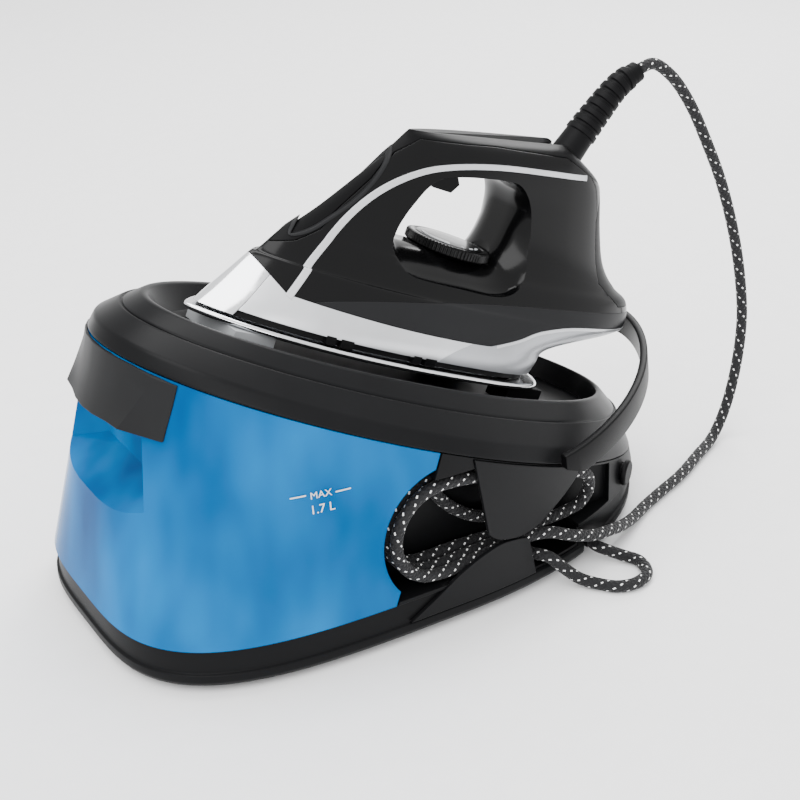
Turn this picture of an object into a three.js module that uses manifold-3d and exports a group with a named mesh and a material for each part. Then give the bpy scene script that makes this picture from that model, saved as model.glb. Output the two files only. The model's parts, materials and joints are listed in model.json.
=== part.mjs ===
// A steam generator iron: a wedge-shaped base with a boiler and a lift-off water tank, and
// an iron that rests nose-up on it, held by a lock hoop and joined to it by a steam cord.
// Millimetres, +Z up, tank handle toward -X, cord storage toward -Y.
import * as THREE from 'three';
import { mergeVertices } from 'three/addons/utils/BufferGeometryUtils.js';
import Module from 'manifold-3d';

// Base: plan of the bottom, and of the cover's lower edge, which lies in a sloping plane.
const BASE_LENGTH = 363;
const BASE_WIDTH = 209;
const SLOPE = 0.42;
const EDGE_HEIGHT = 104.5;
const COVER_LENGTH = 342;
const COVER_OFFSET = 11.5;
const PAN_FRONT_POWER = 3.6;
const PAN_REAR_POWER = 2.15;
const COVER_POWER = 1.95;
const FOOT_HEIGHT = 3;
const STRIP_TOP = 12;
const PAN_TOP = 26;
const PAN_STEP = 1.5;
const WALL = 2.5;
const GAP = 0.3;
const FIT = 0.5;

// Cover: the groove line, the rim and the tray that the iron rests in.
const GROOVE_RISE = 20;
const GROOVE_INSET = 17.5;
const RIM_RISE = 28;
const RIM_INSET = 29.5;
const RIM_WIDTH = 3;
const TRAY_RISE = 14;
const TRAY_DRAFT = 6;

// Water tank: its slanting rear end, its beak handle and the finger scoop below that.
const TANK_END_X = -34;
const TANK_END_Z = 60;
const TANK_END_LEAN = 0.33;
const TANK_WALL = 2.4;
const BEAK_WIDTH = 100;
const BEAK_BOTTOM = 137;
const BEAK_REACH = 5.5;
const BEAK_CORNER_DROP = 4.5;
const BEAK_DEPTH = 16;
const BEAK_TOP = 160;
const SCOOP_WIDTH = 54;
const SCOOP_FLOOR = 103;
const SCOOP_DEPTH = 24;
const BEAK_SETBACK = 10.5;
const FILLER_SETBACK = 56;
const FILLER_LENGTH = 46;
const FILLER_WIDTH = 60;

// Cord storage: a pocket in the side wall, with a clasp above and a clasp below.
const POCKET_DEPTH = 27;
const POCKET_REAR = 118;
const POCKET_FLOOR = 28.5;
const CHANNEL_FROM = 26;
const CHANNEL_TO = 88;
const CHANNEL_BOTTOM = 12.5;
const COIL_X = -14;
const COIL_Z = 61.5;
const COIL_RADIUS = 28;
const CORD_DIAMETER = 7;
const LAYER = CORD_DIAMETER + 0.7;
const FRONT_LAYER = -98.9;
const CLASP_INSET = 1.2;
const CLASP_THICKNESS = 2.2;
const GLAND_X = 100;
const GLAND_Z = 9.5;

// Controls on the far side, and what couples, plugs in or turns on the base.
const PANEL_X = 14;
const PANEL_Z = 62;
const PANEL_LENGTH = 56;
const PANEL_HEIGHT = 20;
const BUTTON_RADIUS = 6;
const BUTTON_SPACING = 24;
const COUPLING_RADIUS = 7;
const GLAND_RADIUS = 5.6;
const COUPLING_Y = -20;
const COUPLING_Z = 45;
const CAP_X = 138;
const CAP_Y = -71.4;
const CAP_Z = 36.5;
const CAP_RADIUS = 8;
const CAP_HEADING = 0.572;
const PANEL_Y = 100;
const LAMP_RADIUS = 1.8;
const BOILER_X = 72;
const BOILER_Y = 16;
const BOILER_Z = 16;
const BOILER_HEIGHT = 40;
const PUMP_X = -6;
const PUMP_Z = 40;

// Iron: it stands in the tray on rests, its sole parallel to the sloping plane.
const SOLE_LENGTH = 228;
const SOLE_WIDTH = 107;
const SOLE_THICKNESS = 3.6;
const IRON_X = -110.7;
const IRON_RISE = 27;
const HEEL_REACH = 299;
const IRON_HEIGHT = 130;
const HANDLE_WIDTH = 41;
const HANDLE_RISE = 0.16;
const HANDLE_DROP_FROM = 33;
const DROP_RATE = 4;
const LEVEL_TILT = 0.03;
const NOSE_LEAN = 1.32;
const DIAL_DIAMETER = 50;
const DIAL_THICKNESS = 6.5;
const DIAL_X = 153;
const SADDLE_HEIGHT = 62;
const TRIGGER_X = 130;
const TRIGGER_Z = 103;
const RELIEF_X = 214;
const RELIEF_Z = 130;
const RELIEF_LEAN = 0.374;
const RELIEF_RADIUS = 10.4;
const RELIEF_TIP_RADIUS = 6.2;
const RELIEF_CLEARANCE = 2.6;

// Lock hoop: it swings about its feet, which sit on the cover's sides.
const HOOP_X = 66;
const HOOP_Z = 77;
const HOOP_REACH = 126;
const HOOP_HALF_WIDTH = 103;
const HOOP_WIDTH = 17;
const HOOP_THICKNESS = 5;
const HOOP_ANGLE = 9;
const HOOP_POWER = 1.7;

// Around the plan outlines.
const SIDES = 40;
const IRON_SIDES = 28;

const TILT = Math.atan(SLOPE);
const FRONT = -BASE_LENGTH / 2;
const HOOP_RISE = THREE.MathUtils.degToRad(HOOP_ANGLE);
const HOOP_REAR = HOOP_X + (HOOP_REACH + HOOP_THICKNESS / 2) * Math.cos(HOOP_RISE)
  + (HOOP_WIDTH / 2) * Math.sin(HOOP_RISE);
const CENTRE_X = (FRONT + HOOP_REAR) / 2;

const wasm = await Module();
wasm.setup();

const materials = {
  darkPlastic: { color: 0x1b1c1e, roughness: 0.45, metalness: 0 },
  coverPlastic: { color: 0x232426, roughness: 0.4, metalness: 0 },
  blackPlastic: { color: 0x101113, roughness: 0.35, metalness: 0 },
  glossBlack: { color: 0x0b0c0e, roughness: 0.15, metalness: 0 },
  tankBlue: { color: 0x0b7fd0, roughness: 0.1, metalness: 0, transparent: true, opacity: 0.75 },
  silver: { color: 0xc2c4c6, roughness: 0.35, metalness: 0.3 },
  chrome: { color: 0xdcdfe2, roughness: 0.08, metalness: 1 },
  steel: { color: 0xb5b8bb, roughness: 0.3, metalness: 1 },
  castMetal: { color: 0x8f9194, roughness: 0.6, metalness: 0.9 },
  brass: { color: 0xb08a45, roughness: 0.35, metalness: 1 },
  rubber: { color: 0x0d0d0e, roughness: 0.8, metalness: 0 },
  greyPad: { color: 0x9c9ea0, roughness: 0.6, metalness: 0 },
  silicone: { color: 0xb9bbbd, roughness: 0.6, metalness: 0 },
  lens: { color: 0xd8dadb, roughness: 0.1, metalness: 0 },
  board: { color: 0x1f5a35, roughness: 0.5, metalness: 0 },
  white: { color: 0xdedfe0, roughness: 0.5, metalness: 0 },
  textile: { color: 0x141416, roughness: 0.9, metalness: 0 },
};

const model = new THREE.Group();
model.position.x = -CENTRE_X;

// A named mesh with a material of its own, added to a group.
function add(parent, name, geometry, material) {
  const mesh = new THREE.Mesh(geometry, new THREE.MeshStandardMaterial(materials[material]));
  mesh.name = name;
  parent.add(mesh);
  return mesh;
}

// Six times the signed volume of an indexed triangle list.
function signedVolume(points, index) {
  let sum = 0;
  for (let i = 0; i < index.length; i += 3) {
    const [a, b, c] = [points[index[i]], points[index[i + 1]], points[index[i + 2]]];
    sum += a.dot(new THREE.Vector3().crossVectors(b, c));
  }
  return sum;
}

// A closed body through rings of equally many points, each end closed by a fan.
function loft(rings) {
  const count = rings[0].length;
  const points = rings.flat();
  const index = [];
  for (let r = 0; r + 1 < rings.length; r += 1) {
    for (let i = 0; i < count; i += 1) {
      const j = (i + 1) % count;
      const [a, b, c, d] = [r * count + i, r * count + j, (r + 1) * count + j, (r + 1) * count + i];
      index.push(a, b, c, a, c, d);
    }
  }
  const ends = [[rings[0], 0, true], [rings.at(-1), (rings.length - 1) * count, false]];
  for (const [ring, start, flip] of ends) {
    const middle = new THREE.Vector3();
    ring.forEach((p) => middle.add(p));
    points.push(middle.divideScalar(count));
    for (let i = 0; i < count; i += 1) {
      const [a, b] = [start + i, start + ((i + 1) % count)];
      index.push(...(flip ? [b, a, points.length - 1] : [a, b, points.length - 1]));
    }
  }
  if (signedVolume(points, index) < 0) index.reverse();
  const geometry = new THREE.BufferGeometry().setFromPoints(points);
  geometry.setIndex(index);
  return geometry;
}

// A geometry as a manifold solid, and back; a profile drawn the other way round is turned over.
function solid(geometry) {
  const bare = geometry.clone();
  bare.deleteAttribute('normal');
  bare.deleteAttribute('uv');
  const merged = mergeVertices(bare, 1e-4);
  const index = Array.from(merged.index.array);
  const kept = [];
  for (let i = 0; i < index.length; i += 3) {
    const [a, b, c] = index.slice(i, i + 3);
    if (a !== b && b !== c && c !== a) kept.push(a, b, c);
  }
  const places = merged.attributes.position;
  const points = Array.from({ length: places.count }, (_, i) => (
    new THREE.Vector3().fromBufferAttribute(places, i)));
  if (signedVolume(points, kept) < 0) kept.reverse();
  return new wasm.Manifold(new wasm.Mesh({
    numProp: 3,
    vertProperties: Float32Array.from(merged.attributes.position.array),
    triVerts: Uint32Array.from(kept),
  }));
}

function surface(body) {
  const mesh = body.getMesh();
  const geometry = new THREE.BufferGeometry();
  geometry.setAttribute('position', new THREE.BufferAttribute(new Float32Array(mesh.vertProperties), 3));
  geometry.setIndex(Array.from(mesh.triVerts));
  return geometry;
}

// The largest connected piece of a solid: slivers that a cut leaves behind are dropped.
function largest(body) {
  const pieces = body.decompose();
  return pieces.reduce((best, piece) => (piece.volume() > best.volume() ? piece : best));
}

// A prism on an XZ outline, from one y to another.
function prism(outline, fromY, toY) {
  const shape = new THREE.Shape(outline.map(([x, z]) => new THREE.Vector2(x, z)));
  const geometry = new THREE.ExtrudeGeometry(shape, { depth: toY - fromY, bevelEnabled: false });
  geometry.rotateX(Math.PI / 2);
  geometry.translate(0, toY, 0);
  return solid(geometry);
}

function box(x0, x1, y0, y1, z0, z1) {
  const geometry = new THREE.BoxGeometry(x1 - x0, y1 - y0, z1 - z0);
  geometry.translate((x0 + x1) / 2, (y0 + y1) / 2, (z0 + z1) / 2);
  return geometry;
}

// A closed turned body about +Z from [radius, height] steps.
function turned(profile, segments = 16) {
  const points = profile.map(([r, z]) => new THREE.Vector2(r, z));
  const geometry = new THREE.LatheGeometry(points, segments);
  geometry.rotateX(Math.PI / 2);
  return surface(solid(geometry));
}

// A round bar about +Z with a small chamfer at both ends.
function disc(radius, height, edge = 0.6, segments = 16) {
  return turned([[0, 0], [radius - edge, 0], [radius, edge], [radius, height - edge],
    [radius - edge, height], [0, height]], segments);
}

// A tube along points.
function tube(points, radius, steps, sides = 8) {
  const section = new THREE.Shape();
  section.absarc(0, 0, radius, 0, Math.PI * 2, false);
  const path = new THREE.CatmullRomCurve3(points.map((p) => new THREE.Vector3(...p)), false, 'centripetal');
  return new THREE.ExtrudeGeometry(section, {
    steps,
    curveSegments: Math.round(sides / 2),
    extrudePath: path,
  });
}

// One point of an outline that is rounder or squarer ahead and behind its widest place.
function eggPoint(angle, halfLength, halfWidth, frontPower, rearPower) {
  const c = Math.cos(angle);
  const s = Math.sin(angle);
  const power = c < 0 ? frontPower : rearPower;
  return [
    halfLength * Math.sign(c) * Math.abs(c) ** (2 / power),
    halfWidth * Math.sign(s) * Math.abs(s) ** (2 / power),
  ];
}

// The outline of the bottom pan at one height.
function panRing(inset, z) {
  return Array.from({ length: SIDES }, (_, i) => {
    const [x, y] = eggPoint((2 * Math.PI * i) / SIDES, BASE_LENGTH / 2 - inset, BASE_WIDTH / 2 - inset,
      PAN_FRONT_POWER, PAN_REAR_POWER);
    return new THREE.Vector3(x, y, z);
  });
}

// An outline parallel to the cover's lower edge, a rise above the sloping plane.
function slopeRing(inset, rise, shift = 0) {
  return Array.from({ length: SIDES }, (_, i) => {
    const [x, y] = eggPoint((2 * Math.PI * i) / SIDES, COVER_LENGTH / 2 - inset + Math.abs(shift),
      BASE_WIDTH / 2 - inset, COVER_POWER, COVER_POWER);
    const along = x + COVER_OFFSET + shift;
    return new THREE.Vector3(along, y, EDGE_HEIGHT + rise - SLOPE * along);
  });
}

// The wedge between the pan and the sloping plane, inset by a wall thickness.
function wedge(inset, lower = 0, upper = 0) {
  const bottom = panRing(inset, PAN_TOP + GAP - lower);
  const top = slopeRing(inset, upper - GAP);
  return solid(loft([bottom, top]));
}

// The half space behind the tank's slanting end, as a prism; offset moves it rearward.
function behindTank(offset) {
  const at = (z) => TANK_END_X + offset + (z - TANK_END_Z) * TANK_END_LEAN;
  return prism([[at(-20), -20], [400, -20], [400, 260], [at(260), 260]], -200, 200);
}

// ---------- Bottom pan and feet ----------
function bottomPan() {
  const bottom = FOOT_HEIGHT;
  const shell = solid(loft([
    panRing(5, bottom), panRing(1.2, bottom + 1.4), panRing(0, bottom + 4), panRing(0, STRIP_TOP - 0.6),
    panRing(PAN_STEP, STRIP_TOP), panRing(PAN_STEP, PAN_TOP), panRing(PAN_STEP + WALL, PAN_TOP),
    panRing(PAN_STEP + WALL, bottom + WALL),
  ]));
  const half = GLAND_RADIUS + 1;
  const notch = prism([[GLAND_X - half, -5], [GLAND_X + half, -5], [GLAND_X + half, GLAND_Z + 3],
    [GLAND_X + half - 3, GLAND_Z + half], [GLAND_X - half + 3, GLAND_Z + half],
    [GLAND_X - half, GLAND_Z + 3]], -120, -62);
  const channel = solid(box(CHANNEL_FROM - GAP, CHANNEL_TO + GAP, -140, -60, CHANNEL_BOTTOM - GAP, 60));
  return surface(shell.subtract(notch).subtract(channel));
}

// The trough under the pocket, through which the cord comes out beside the lower clasp.
function cordChannel() {
  const face = -BASE_WIDTH / 2 + POCKET_DEPTH;
  const block = solid(box(CHANNEL_FROM, CHANNEL_TO, -140, face + WALL, CHANNEL_BOTTOM, PAN_TOP));
  const room = solid(box(CHANNEL_FROM + 2, CHANNEL_TO - 2, -150, face, CHANNEL_BOTTOM + 2, 60));
  const band = solid(loft([panRing(PAN_STEP, 5), panRing(PAN_STEP, 50)]));
  return surface(block.subtract(room).intersect(band));
}

// ---------- Rear housing, with the cord pocket in its side ----------
// The pocket seen from the side; grow widens it by a wall thickness.
function pocketOutline(grow) {
  const top = (x) => EDGE_HEIGHT - SLOPE * x - 4 + grow;
  const left = COIL_X - COIL_RADIUS - 40;
  const floor = POCKET_FLOOR - grow;
  const [from, to] = [CHANNEL_FROM + 2 - grow, CHANNEL_TO - 2 + grow];
  const rear = POCKET_REAR + grow;
  return [[left, floor], [from, floor], [from, 0], [to, 0], [to, floor], [rear, floor],
    [rear, top(POCKET_REAR) + 2.5], [60, top(60) + 2.5], [10, top(10)], [left, top(10)]];
}

function rearHousing() {
  const pocketFace = -BASE_WIDTH / 2 + POCKET_DEPTH;
  const outer = wedge(0).intersect(behindTank(1.2));
  const inside = wedge(WALL, 5, 5).intersect(behindTank(1.2 + WALL));
  const pocket = prism(pocketOutline(0), -140, pocketFace);
  const pocketWall = prism(pocketOutline(WALL), -140, pocketFace + WALL);
  const panel = solid(box(PANEL_X - PANEL_LENGTH / 2, PANEL_X + PANEL_LENGTH / 2, 80, 130,
    PANEL_Z - PANEL_HEIGHT / 2, PANEL_Z + PANEL_HEIGHT / 2));
  const couplingHole = alongX(disc(COUPLING_RADIUS + 2, 40, 0.5), -50, COUPLING_Y, COUPLING_Z);
  const capHole = solid(placedOnWall(disc(CAP_RADIUS - 2, 40, 0.5), -20));
  let body = outer.subtract(inside.subtract(pocketWall));
  body = body.subtract(claspSeat(upperClaspOutline(FIT))).subtract(claspSeat(lowerClaspOutline(FIT)));
  body = body.subtract(pocket).subtract(panel).subtract(solid(couplingHole)).subtract(capHole);
  return surface(largest(body));
}

// A body made about +Z, turned to point along +X from a place.
function alongX(geometry, x, y, z) {
  geometry.rotateY(Math.PI / 2);
  geometry.translate(x, y, z);
  return geometry;
}

// A body made about +Z, turned to point out of the side wall where the calc collector's cap sits.
function placedOnWall(geometry, from) {
  const out = new THREE.Vector3(Math.sin(CAP_HEADING), -Math.cos(CAP_HEADING), 0);
  geometry.translate(0, 0, from);
  geometry.applyQuaternion(new THREE.Quaternion().setFromUnitVectors(new THREE.Vector3(0, 0, 1), out));
  geometry.translate(CAP_X, CAP_Y, CAP_Z);
  return geometry;
}

// ---------- Cover, and the tray that fills the middle of it ----------
function coverAndTray() {
  return solid(loft([
    slopeRing(RIM_INSET + RIM_WIDTH + TRAY_DRAFT, TRAY_RISE, 6),
    slopeRing(RIM_INSET + RIM_WIDTH, RIM_RISE, 6),
    slopeRing(RIM_INSET, RIM_RISE, 6),
    slopeRing(GROOVE_INSET + 1.5, GROOVE_RISE - 0.5, 5),
    slopeRing(GROOVE_INSET, GROOVE_RISE, 5),
    slopeRing(4, 9),
    slopeRing(0, 0.6),
    slopeRing(0.6, 0),
    slopeRing(WALL, 0),
    slopeRing(WALL + 4, 8),
    slopeRing(GROOVE_INSET + WALL + 2, GROOVE_RISE - WALL, 5),
    slopeRing(RIM_INSET + 1, RIM_RISE - WALL, 6),
    slopeRing(RIM_INSET + RIM_WIDTH + TRAY_DRAFT - WALL - 0.4, TRAY_RISE - WALL, 6),
  ]));
}

// What lies inside the seam between the cover and the tray.
function insideSeam(inset) {
  return solid(loft([slopeRing(inset, -40, 5), slopeRing(inset, 60, 5)]));
}

function cover() {
  return surface(coverAndTray().subtract(insideSeam(GROOVE_INSET + 1.5)));
}

function trayDish() {
  return surface(coverAndTray().intersect(insideSeam(GROOVE_INSET + 1.5 + GAP)));
}

// ---------- Cord clasps: two fins over the pocket, one from above and one from below ----------
function claspLayer(inset, thickness) {
  return wedge(inset - thickness, 20, 0).subtract(wedge(inset, 30, 10));
}

// What the wall behind a clasp gives up, so that the clasp lies in it.
function claspSeat(outline) {
  return wedge(-5, 20, 20).subtract(wedge(CLASP_INSET + GAP, 30, 30)).intersect(prism(outline, -140, -60));
}

function upperClaspOutline(grow) {
  const edge = (x) => EDGE_HEIGHT - SLOPE * x - 1.2 + grow;
  return [[3 - grow, edge(3)], [14 - grow, 52 - grow], [20, 47 - grow], [39, 43 - grow],
    [52 + grow, 46 - grow], [72 + grow, 57 - grow], [82 + 2 * grow, 64], [82 + 2 * grow, edge(82)]];
}

function lowerClaspOutline(grow) {
  return [[-36 - grow, STRIP_TOP + 1], [50 + grow, STRIP_TOP + 1], [44 + grow, 36], [40, 40 + grow],
    [22, 42.5 + grow], [9, 39 + grow], [-4, 33 + grow], [-17, 24.5 + grow]];
}

function upperClasp() {
  const layer = claspLayer(CLASP_INSET, CLASP_THICKNESS);
  return surface(largest(layer.intersect(prism(upperClaspOutline(0), -140, -60))));
}

function lowerClasp() {
  const inner = PAN_STEP - GAP;
  const fin = solid(loft([panRing(inner - CLASP_THICKNESS, STRIP_TOP), panRing(inner - CLASP_THICKNESS, 60)]))
    .subtract(solid(loft([panRing(inner, -5), panRing(inner, 80)])));
  return surface(largest(fin.intersect(prism(lowerClaspOutline(0), -140, -60))));
}

// ---------- Water tank ----------
// The scoop's room for the fingers: its sides and floor spread outward from a narrower back.
function scoop(grow) {
  const backX = FRONT + BEAK_SETBACK + SCOOP_DEPTH;
  const ring = (x) => {
    const out = backX - x;
    const half = SCOOP_WIDTH / 2 + grow + 1.5 * out;
    const floor = SCOOP_FLOOR - grow - 0.6 * out;
    return [[-half, floor], [half, floor], [half, BEAK_BOTTOM + grow], [-half, BEAK_BOTTOM + grow]]
      .map(([y, z]) => new THREE.Vector3(x, y, z));
  };
  return solid(loft([ring(backX + grow), ring(FRONT - 20)]));
}

function tankVolume(inset) {
  const coilRecess = disc(COIL_RADIUS + CORD_DIAMETER + 7 + inset, 60, 0.5, 40);
  coilRecess.rotateX(Math.PI / 2);
  coilRecess.translate(COIL_X + 4, -BASE_WIDTH / 2 + POCKET_DEPTH - 1 + inset, COIL_Z);
  return wedge(GAP + inset, -inset, -inset - GAP)
    .subtract(behindTank(-inset))
    .subtract(scoop(inset))
    .subtract(solid(coilRecess));
}

function tankShell() {
  const fillerX = FRONT + FILLER_SETBACK;
  const mouth = solid(box(fillerX, fillerX + FILLER_LENGTH, -FILLER_WIDTH / 2, FILLER_WIDTH / 2,
    SCOOP_FLOOR - 3, 220));
  return surface(largest(tankVolume(0).subtract(largest(tankVolume(TANK_WALL))).subtract(mouth)));
}

// How far forward the wall under the cover reaches at one y and height.
function frontWall(y, z) {
  const across = Math.abs((2 * y) / BASE_WIDTH);
  const reach = (halfLength, power) => halfLength * (1 - across ** power) ** (1 / power);
  const panX = -reach(BASE_LENGTH / 2, PAN_FRONT_POWER);
  const edgeX = COVER_OFFSET - reach(COVER_LENGTH / 2, COVER_POWER);
  const t = (z - PAN_TOP) / (EDGE_HEIGHT - SLOPE * edgeX - PAN_TOP);
  return panX + (edgeX - panX) * t;
}

// The handle on the tank's front: a beak with one broad and two narrow faces, flaring to its lip.
function tankHandle() {
  const half = BEAK_WIDTH / 2;
  const lipY = [1, 0.66, 0.44, 0.22, 0].map((t) => -half * t);
  const topY = [1, 0.84, 0.56, 0.28, 0].map((t) => -half * t);
  const bothSides = (list) => [...list, ...list.slice(0, -1).reverse().map((y) => -y)];
  const ring = (spread, lift, reach) => bothSides(lipY).map((lip, i) => {
    const y = lip + (bothSides(topY)[i] - lip) * lift;
    const atEnd = Math.abs(lip) === half;
    const low = BEAK_BOTTOM - (atEnd ? BEAK_CORNER_DROP : 0);
    const top = EDGE_HEIGHT - SLOPE * frontWall(y, BEAK_TOP) - 5 * GAP;
    const z = low + (top - low) * lift;
    const flare = atEnd ? 0.3 * reach : reach;
    return new THREE.Vector3(frontWall(y, z) - PAN_STEP - flare + spread, y, z);
  });
  const outer = [[0, 1], [0.35, 0.45], [0.7, 0.1], [1, 0]].map(([lift, flare]) => (
    ring(0, lift, BEAK_REACH * flare)));
  const inner = [ring(BEAK_DEPTH, 1, 0), ring(BEAK_DEPTH, 0, 0)];
  const sections = outer[0].map((_, i) => [...outer, ...inner].map((level) => level[i]));
  return surface(largest(solid(loft(sections)).subtract(wedge(0)).subtract(wedge(4, 0, 20))));
}

function tankValve() {
  const steps = [[0, 0], [COUPLING_RADIUS, 0], [COUPLING_RADIUS, 12], [4, 13], [4, 18], [0, 18]];
  const valve = alongX(turned(steps),
    TANK_END_X + (COUPLING_Z - TANK_END_Z) * TANK_END_LEAN - 6, COUPLING_Y, COUPLING_Z);
  return surface(solid(valve).intersect(behindTank(GAP)));
}

// ---------- Iron, in its own frame: x from the sole's tip to the heel, z up from the sole ----------
// One ring: it rises to the rear by its tilt, and a ring that rises falls again behind the handle's top.
function teardrop(nose, widest, heel, halfWidth, z, tilt = 0, rearPower = 3) {
  return Array.from({ length: IRON_SIDES }, (_, i) => {
    const angle = (2 * Math.PI * i) / IRON_SIDES;
    const c = Math.cos(angle);
    const s = Math.sin(angle);
    const front = c < 0;
    const along = Math.abs(c) ** (front ? 2 / 2.5 : 2 / rearPower);
    const across = Math.abs(s) ** (front ? 2 / 1.35 : 2 / rearPower);
    const x = (front ? nose - widest : heel - widest) * along;
    const drop = DROP_RATE * Math.max(0, tilt - LEVEL_TILT) * Math.max(0, x - HANDLE_DROP_FROM);
    return new THREE.Vector3(widest + x, halfWidth * Math.sign(s) * across, z + tilt * x - drop);
  });
}

// The outside of skirt and body together, from the sole to the top of the handle.
function ironHull(inset) {
  const noseAt = (z) => 3.5 + (z - SOLE_THICKNESS) / NOSE_LEAN;
  const ring = (z, heel, half, widest, tilt = 0, power = 3) => teardrop(
    noseAt(z) + inset, widest, heel - inset, half - inset, z, tilt, power);
  return solid(loft([
    ring(SOLE_THICKNESS + 0.8, SOLE_LENGTH - 6, SOLE_WIDTH / 2 - 3.5, 165),
    ring(14, SOLE_LENGTH - 4, SOLE_WIDTH / 2 - 2.5, 167),
    ring(24, SOLE_LENGTH + 4, SOLE_WIDTH / 2 - 5, 175),
    ring(37, HEEL_REACH - 14, 44, 190, 0, 2.6),
    ring(42, HEEL_REACH, 41, 195, 0.02, 2.5),
    ring(55, HEEL_REACH - 2, 35, 198, 0.02, 2.4),
    ring(62, HEEL_REACH - 17, 31, 195, 0.03, 2.4),
    ring(77, HEEL_REACH - 31, 26, 188, 0.06, 2.5),
    ring(100, HEEL_REACH - 43, 22.5, 180, 0.1, 2.7),
    ring(IRON_HEIGHT - 8, HEEL_REACH - 51, HANDLE_WIDTH / 2, 172, HANDLE_RISE, 2.8),
    ring(IRON_HEIGHT - 1, HEEL_REACH - 55, HANDLE_WIDTH / 2 - 4, 172, HANDLE_RISE, 2.8),
    ring(IRON_HEIGHT + 2, HEEL_REACH - 63, HANDLE_WIDTH / 2 - 12, 172, HANDLE_RISE, 2.8),
  ]));
}

// The line where the black body ends and the silver skirt begins, and what lies below it.
const waistLine = [[44, 23], [172, 22], [188, 27], [204, 35], [228, 41], [255, 43.5], [320, 45]];
function belowWaist(drop) {
  return prism([[-20, -20], [340, -20], ...[...waistLine].reverse().map(([x, z]) => [x, z - drop]),
    [20, 42 - drop], [-20, 72 - drop]], -80, 80);
}
// What is ahead of the line where the chrome nose ends.
function nosePart(shift) {
  return prism([[-30, -20], [27 + shift, -20], [27 + shift, 4], [46 + shift, 25], [20, 90],
    [-30, 90]], -80, 80);
}
function openingOutline() {
  return [[104, SADDLE_HEIGHT + 4], [107, SADDLE_HEIGHT], [178, SADDLE_HEIGHT], [183, SADDLE_HEIGHT + 4],
    [187, 82], [186, 96], [181, 104], [172, 107], [132, 100], [119, 95], [109, 84]];
}
// The front of the handle, above the nose, that carries the soft grip.
function gripPart(grow) {
  return prism([[20, 60 - grow], [38, 48 - grow], [50 + grow, 50 - grow], [96 + grow, 110 - grow],
    [106, 118 - grow], [150, 125 - grow], [200, 131 - grow], [236 + grow, 122 - grow], [236 + grow, 190],
    [0, 190]], -80, 80);
}
function rearPart(grow) {
  return prism([[238 - grow, 190], [242 - grow, 100], [255 - grow, 62 - grow], [275 - grow, 47 - grow],
    [340, 47 - grow], [340, 190]], -80, 80);
}
function trimBand(grow) {
  const curve = [[48 - grow, 28 - 1.4 * grow], [62, 45], [91, 85], [107, 99.5], [138, 112], [174, 118],
    [221 + 2 * grow, 123 + 0.2 * grow]];
  const upper = curve.map(([x, z]) => [x - 1.2 - grow, z + 1.6 + grow]);
  const lower = [...curve].reverse().map(([x, z]) => [x + 1.2 + grow, z - 1.6 - grow]);
  return [...lower, ...upper].reverse();
}

function bodyShell() {
  const cavity = ironHull(3).intersect(solid(box(0, 400, -80, 80, -20, SADDLE_HEIGHT - 4)));
  const opening = prism(openingOutline(), -80, 80);
  const trigger = solid(box(TRIGGER_X - 16, TRIGGER_X + 15, -6.5, 6.5, 88, 112));
  const dialSeat = turned([[0, 0], [DIAL_DIAMETER / 2 + 1, 0], [DIAL_DIAMETER / 2 + 1, 30], [0, 30]], 32);
  dialSeat.translate(DIAL_X, 0, SADDLE_HEIGHT - 1.5);
  const shaftHole = disc(5.5, 30, 0.5);
  shaftHole.translate(DIAL_X, 0, SADDLE_HEIGHT - 20);
  const grooves = ironHull(1.5);
  let body = ironHull(0).subtract(belowWaist(-GAP)).subtract(cavity).subtract(opening).subtract(trigger)
    .subtract(gripPart(GAP)).subtract(rearPart(GAP)).subtract(solid(shaftHole)).subtract(reliefHole());
  body = body.subtract(solid(dialSeat).intersect(solid(box(0, 400, -80, 80, 0, 75))));
  body = body.subtract(prism(trimBand(0.3), -80, 80).subtract(grooves));
  return surface(largest(body));
}

// The hole that the cord's sleeve sits in.
function reliefHole() {
  const hole = disc(RELIEF_RADIUS + 0.6, 80, 0.5, 16);
  hole.translate(0, 0, -14.5);
  hole.rotateY(RELIEF_LEAN);
  hole.translate(RELIEF_X, 0, RELIEF_Z);
  return solid(hole);
}

function gripCover() {
  return surface(largest(ironHull(0).intersect(gripPart(0)).subtract(reliefHole())));
}

function silverSkirt() {
  const inner = ironHull(3).translate([0, 0, -3]);
  const under = ironHull(3).translate([0, 0, 3]);
  const low = solid(box(-20, 400, -80, 80, -20, 21));
  const skirt = ironHull(0).intersect(belowWaist(0)).subtract(nosePart(GAP))
    .subtract(inner.intersect(low).add(under.intersect(solid(box(-20, 228, -80, 80, -20, 60)))));
  return surface(largest(skirt));
}

function noseCap() {
  const cap = ironHull(0).intersect(belowWaist(0)).intersect(nosePart(0));
  const hollow = ironHull(3).intersect(solid(box(0, 60, -60, 60, 0, 26)));
  return surface(largest(cap.subtract(hollow)));
}

function trimStrip(side) {
  const band = prism(trimBand(0), side < 0 ? -80 : 2, side < 0 ? -2 : 80);
  return surface(largest(ironHull(-0.3).subtract(ironHull(1)).intersect(band)));
}

function solePlate() {
  const outline = (inset, z) => (
    teardrop(inset, 165, SOLE_LENGTH - inset, SOLE_WIDTH / 2 - inset, z, 0, 3.4));
  return loft([outline(1.6, 0), outline(0.4, 0.5), outline(0, 1.6), outline(0.3, 2.8),
    outline(1.4, SOLE_THICKNESS)]);
}

function steamChamber() {
  return loft([
    teardrop(16, 165, SOLE_LENGTH - 18, SOLE_WIDTH / 2 - 11, SOLE_THICKNESS + GAP, 0, 3),
    teardrop(24, 165, SOLE_LENGTH - 20, SOLE_WIDTH / 2 - 13, 19, 0, 3),
  ]);
}

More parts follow.
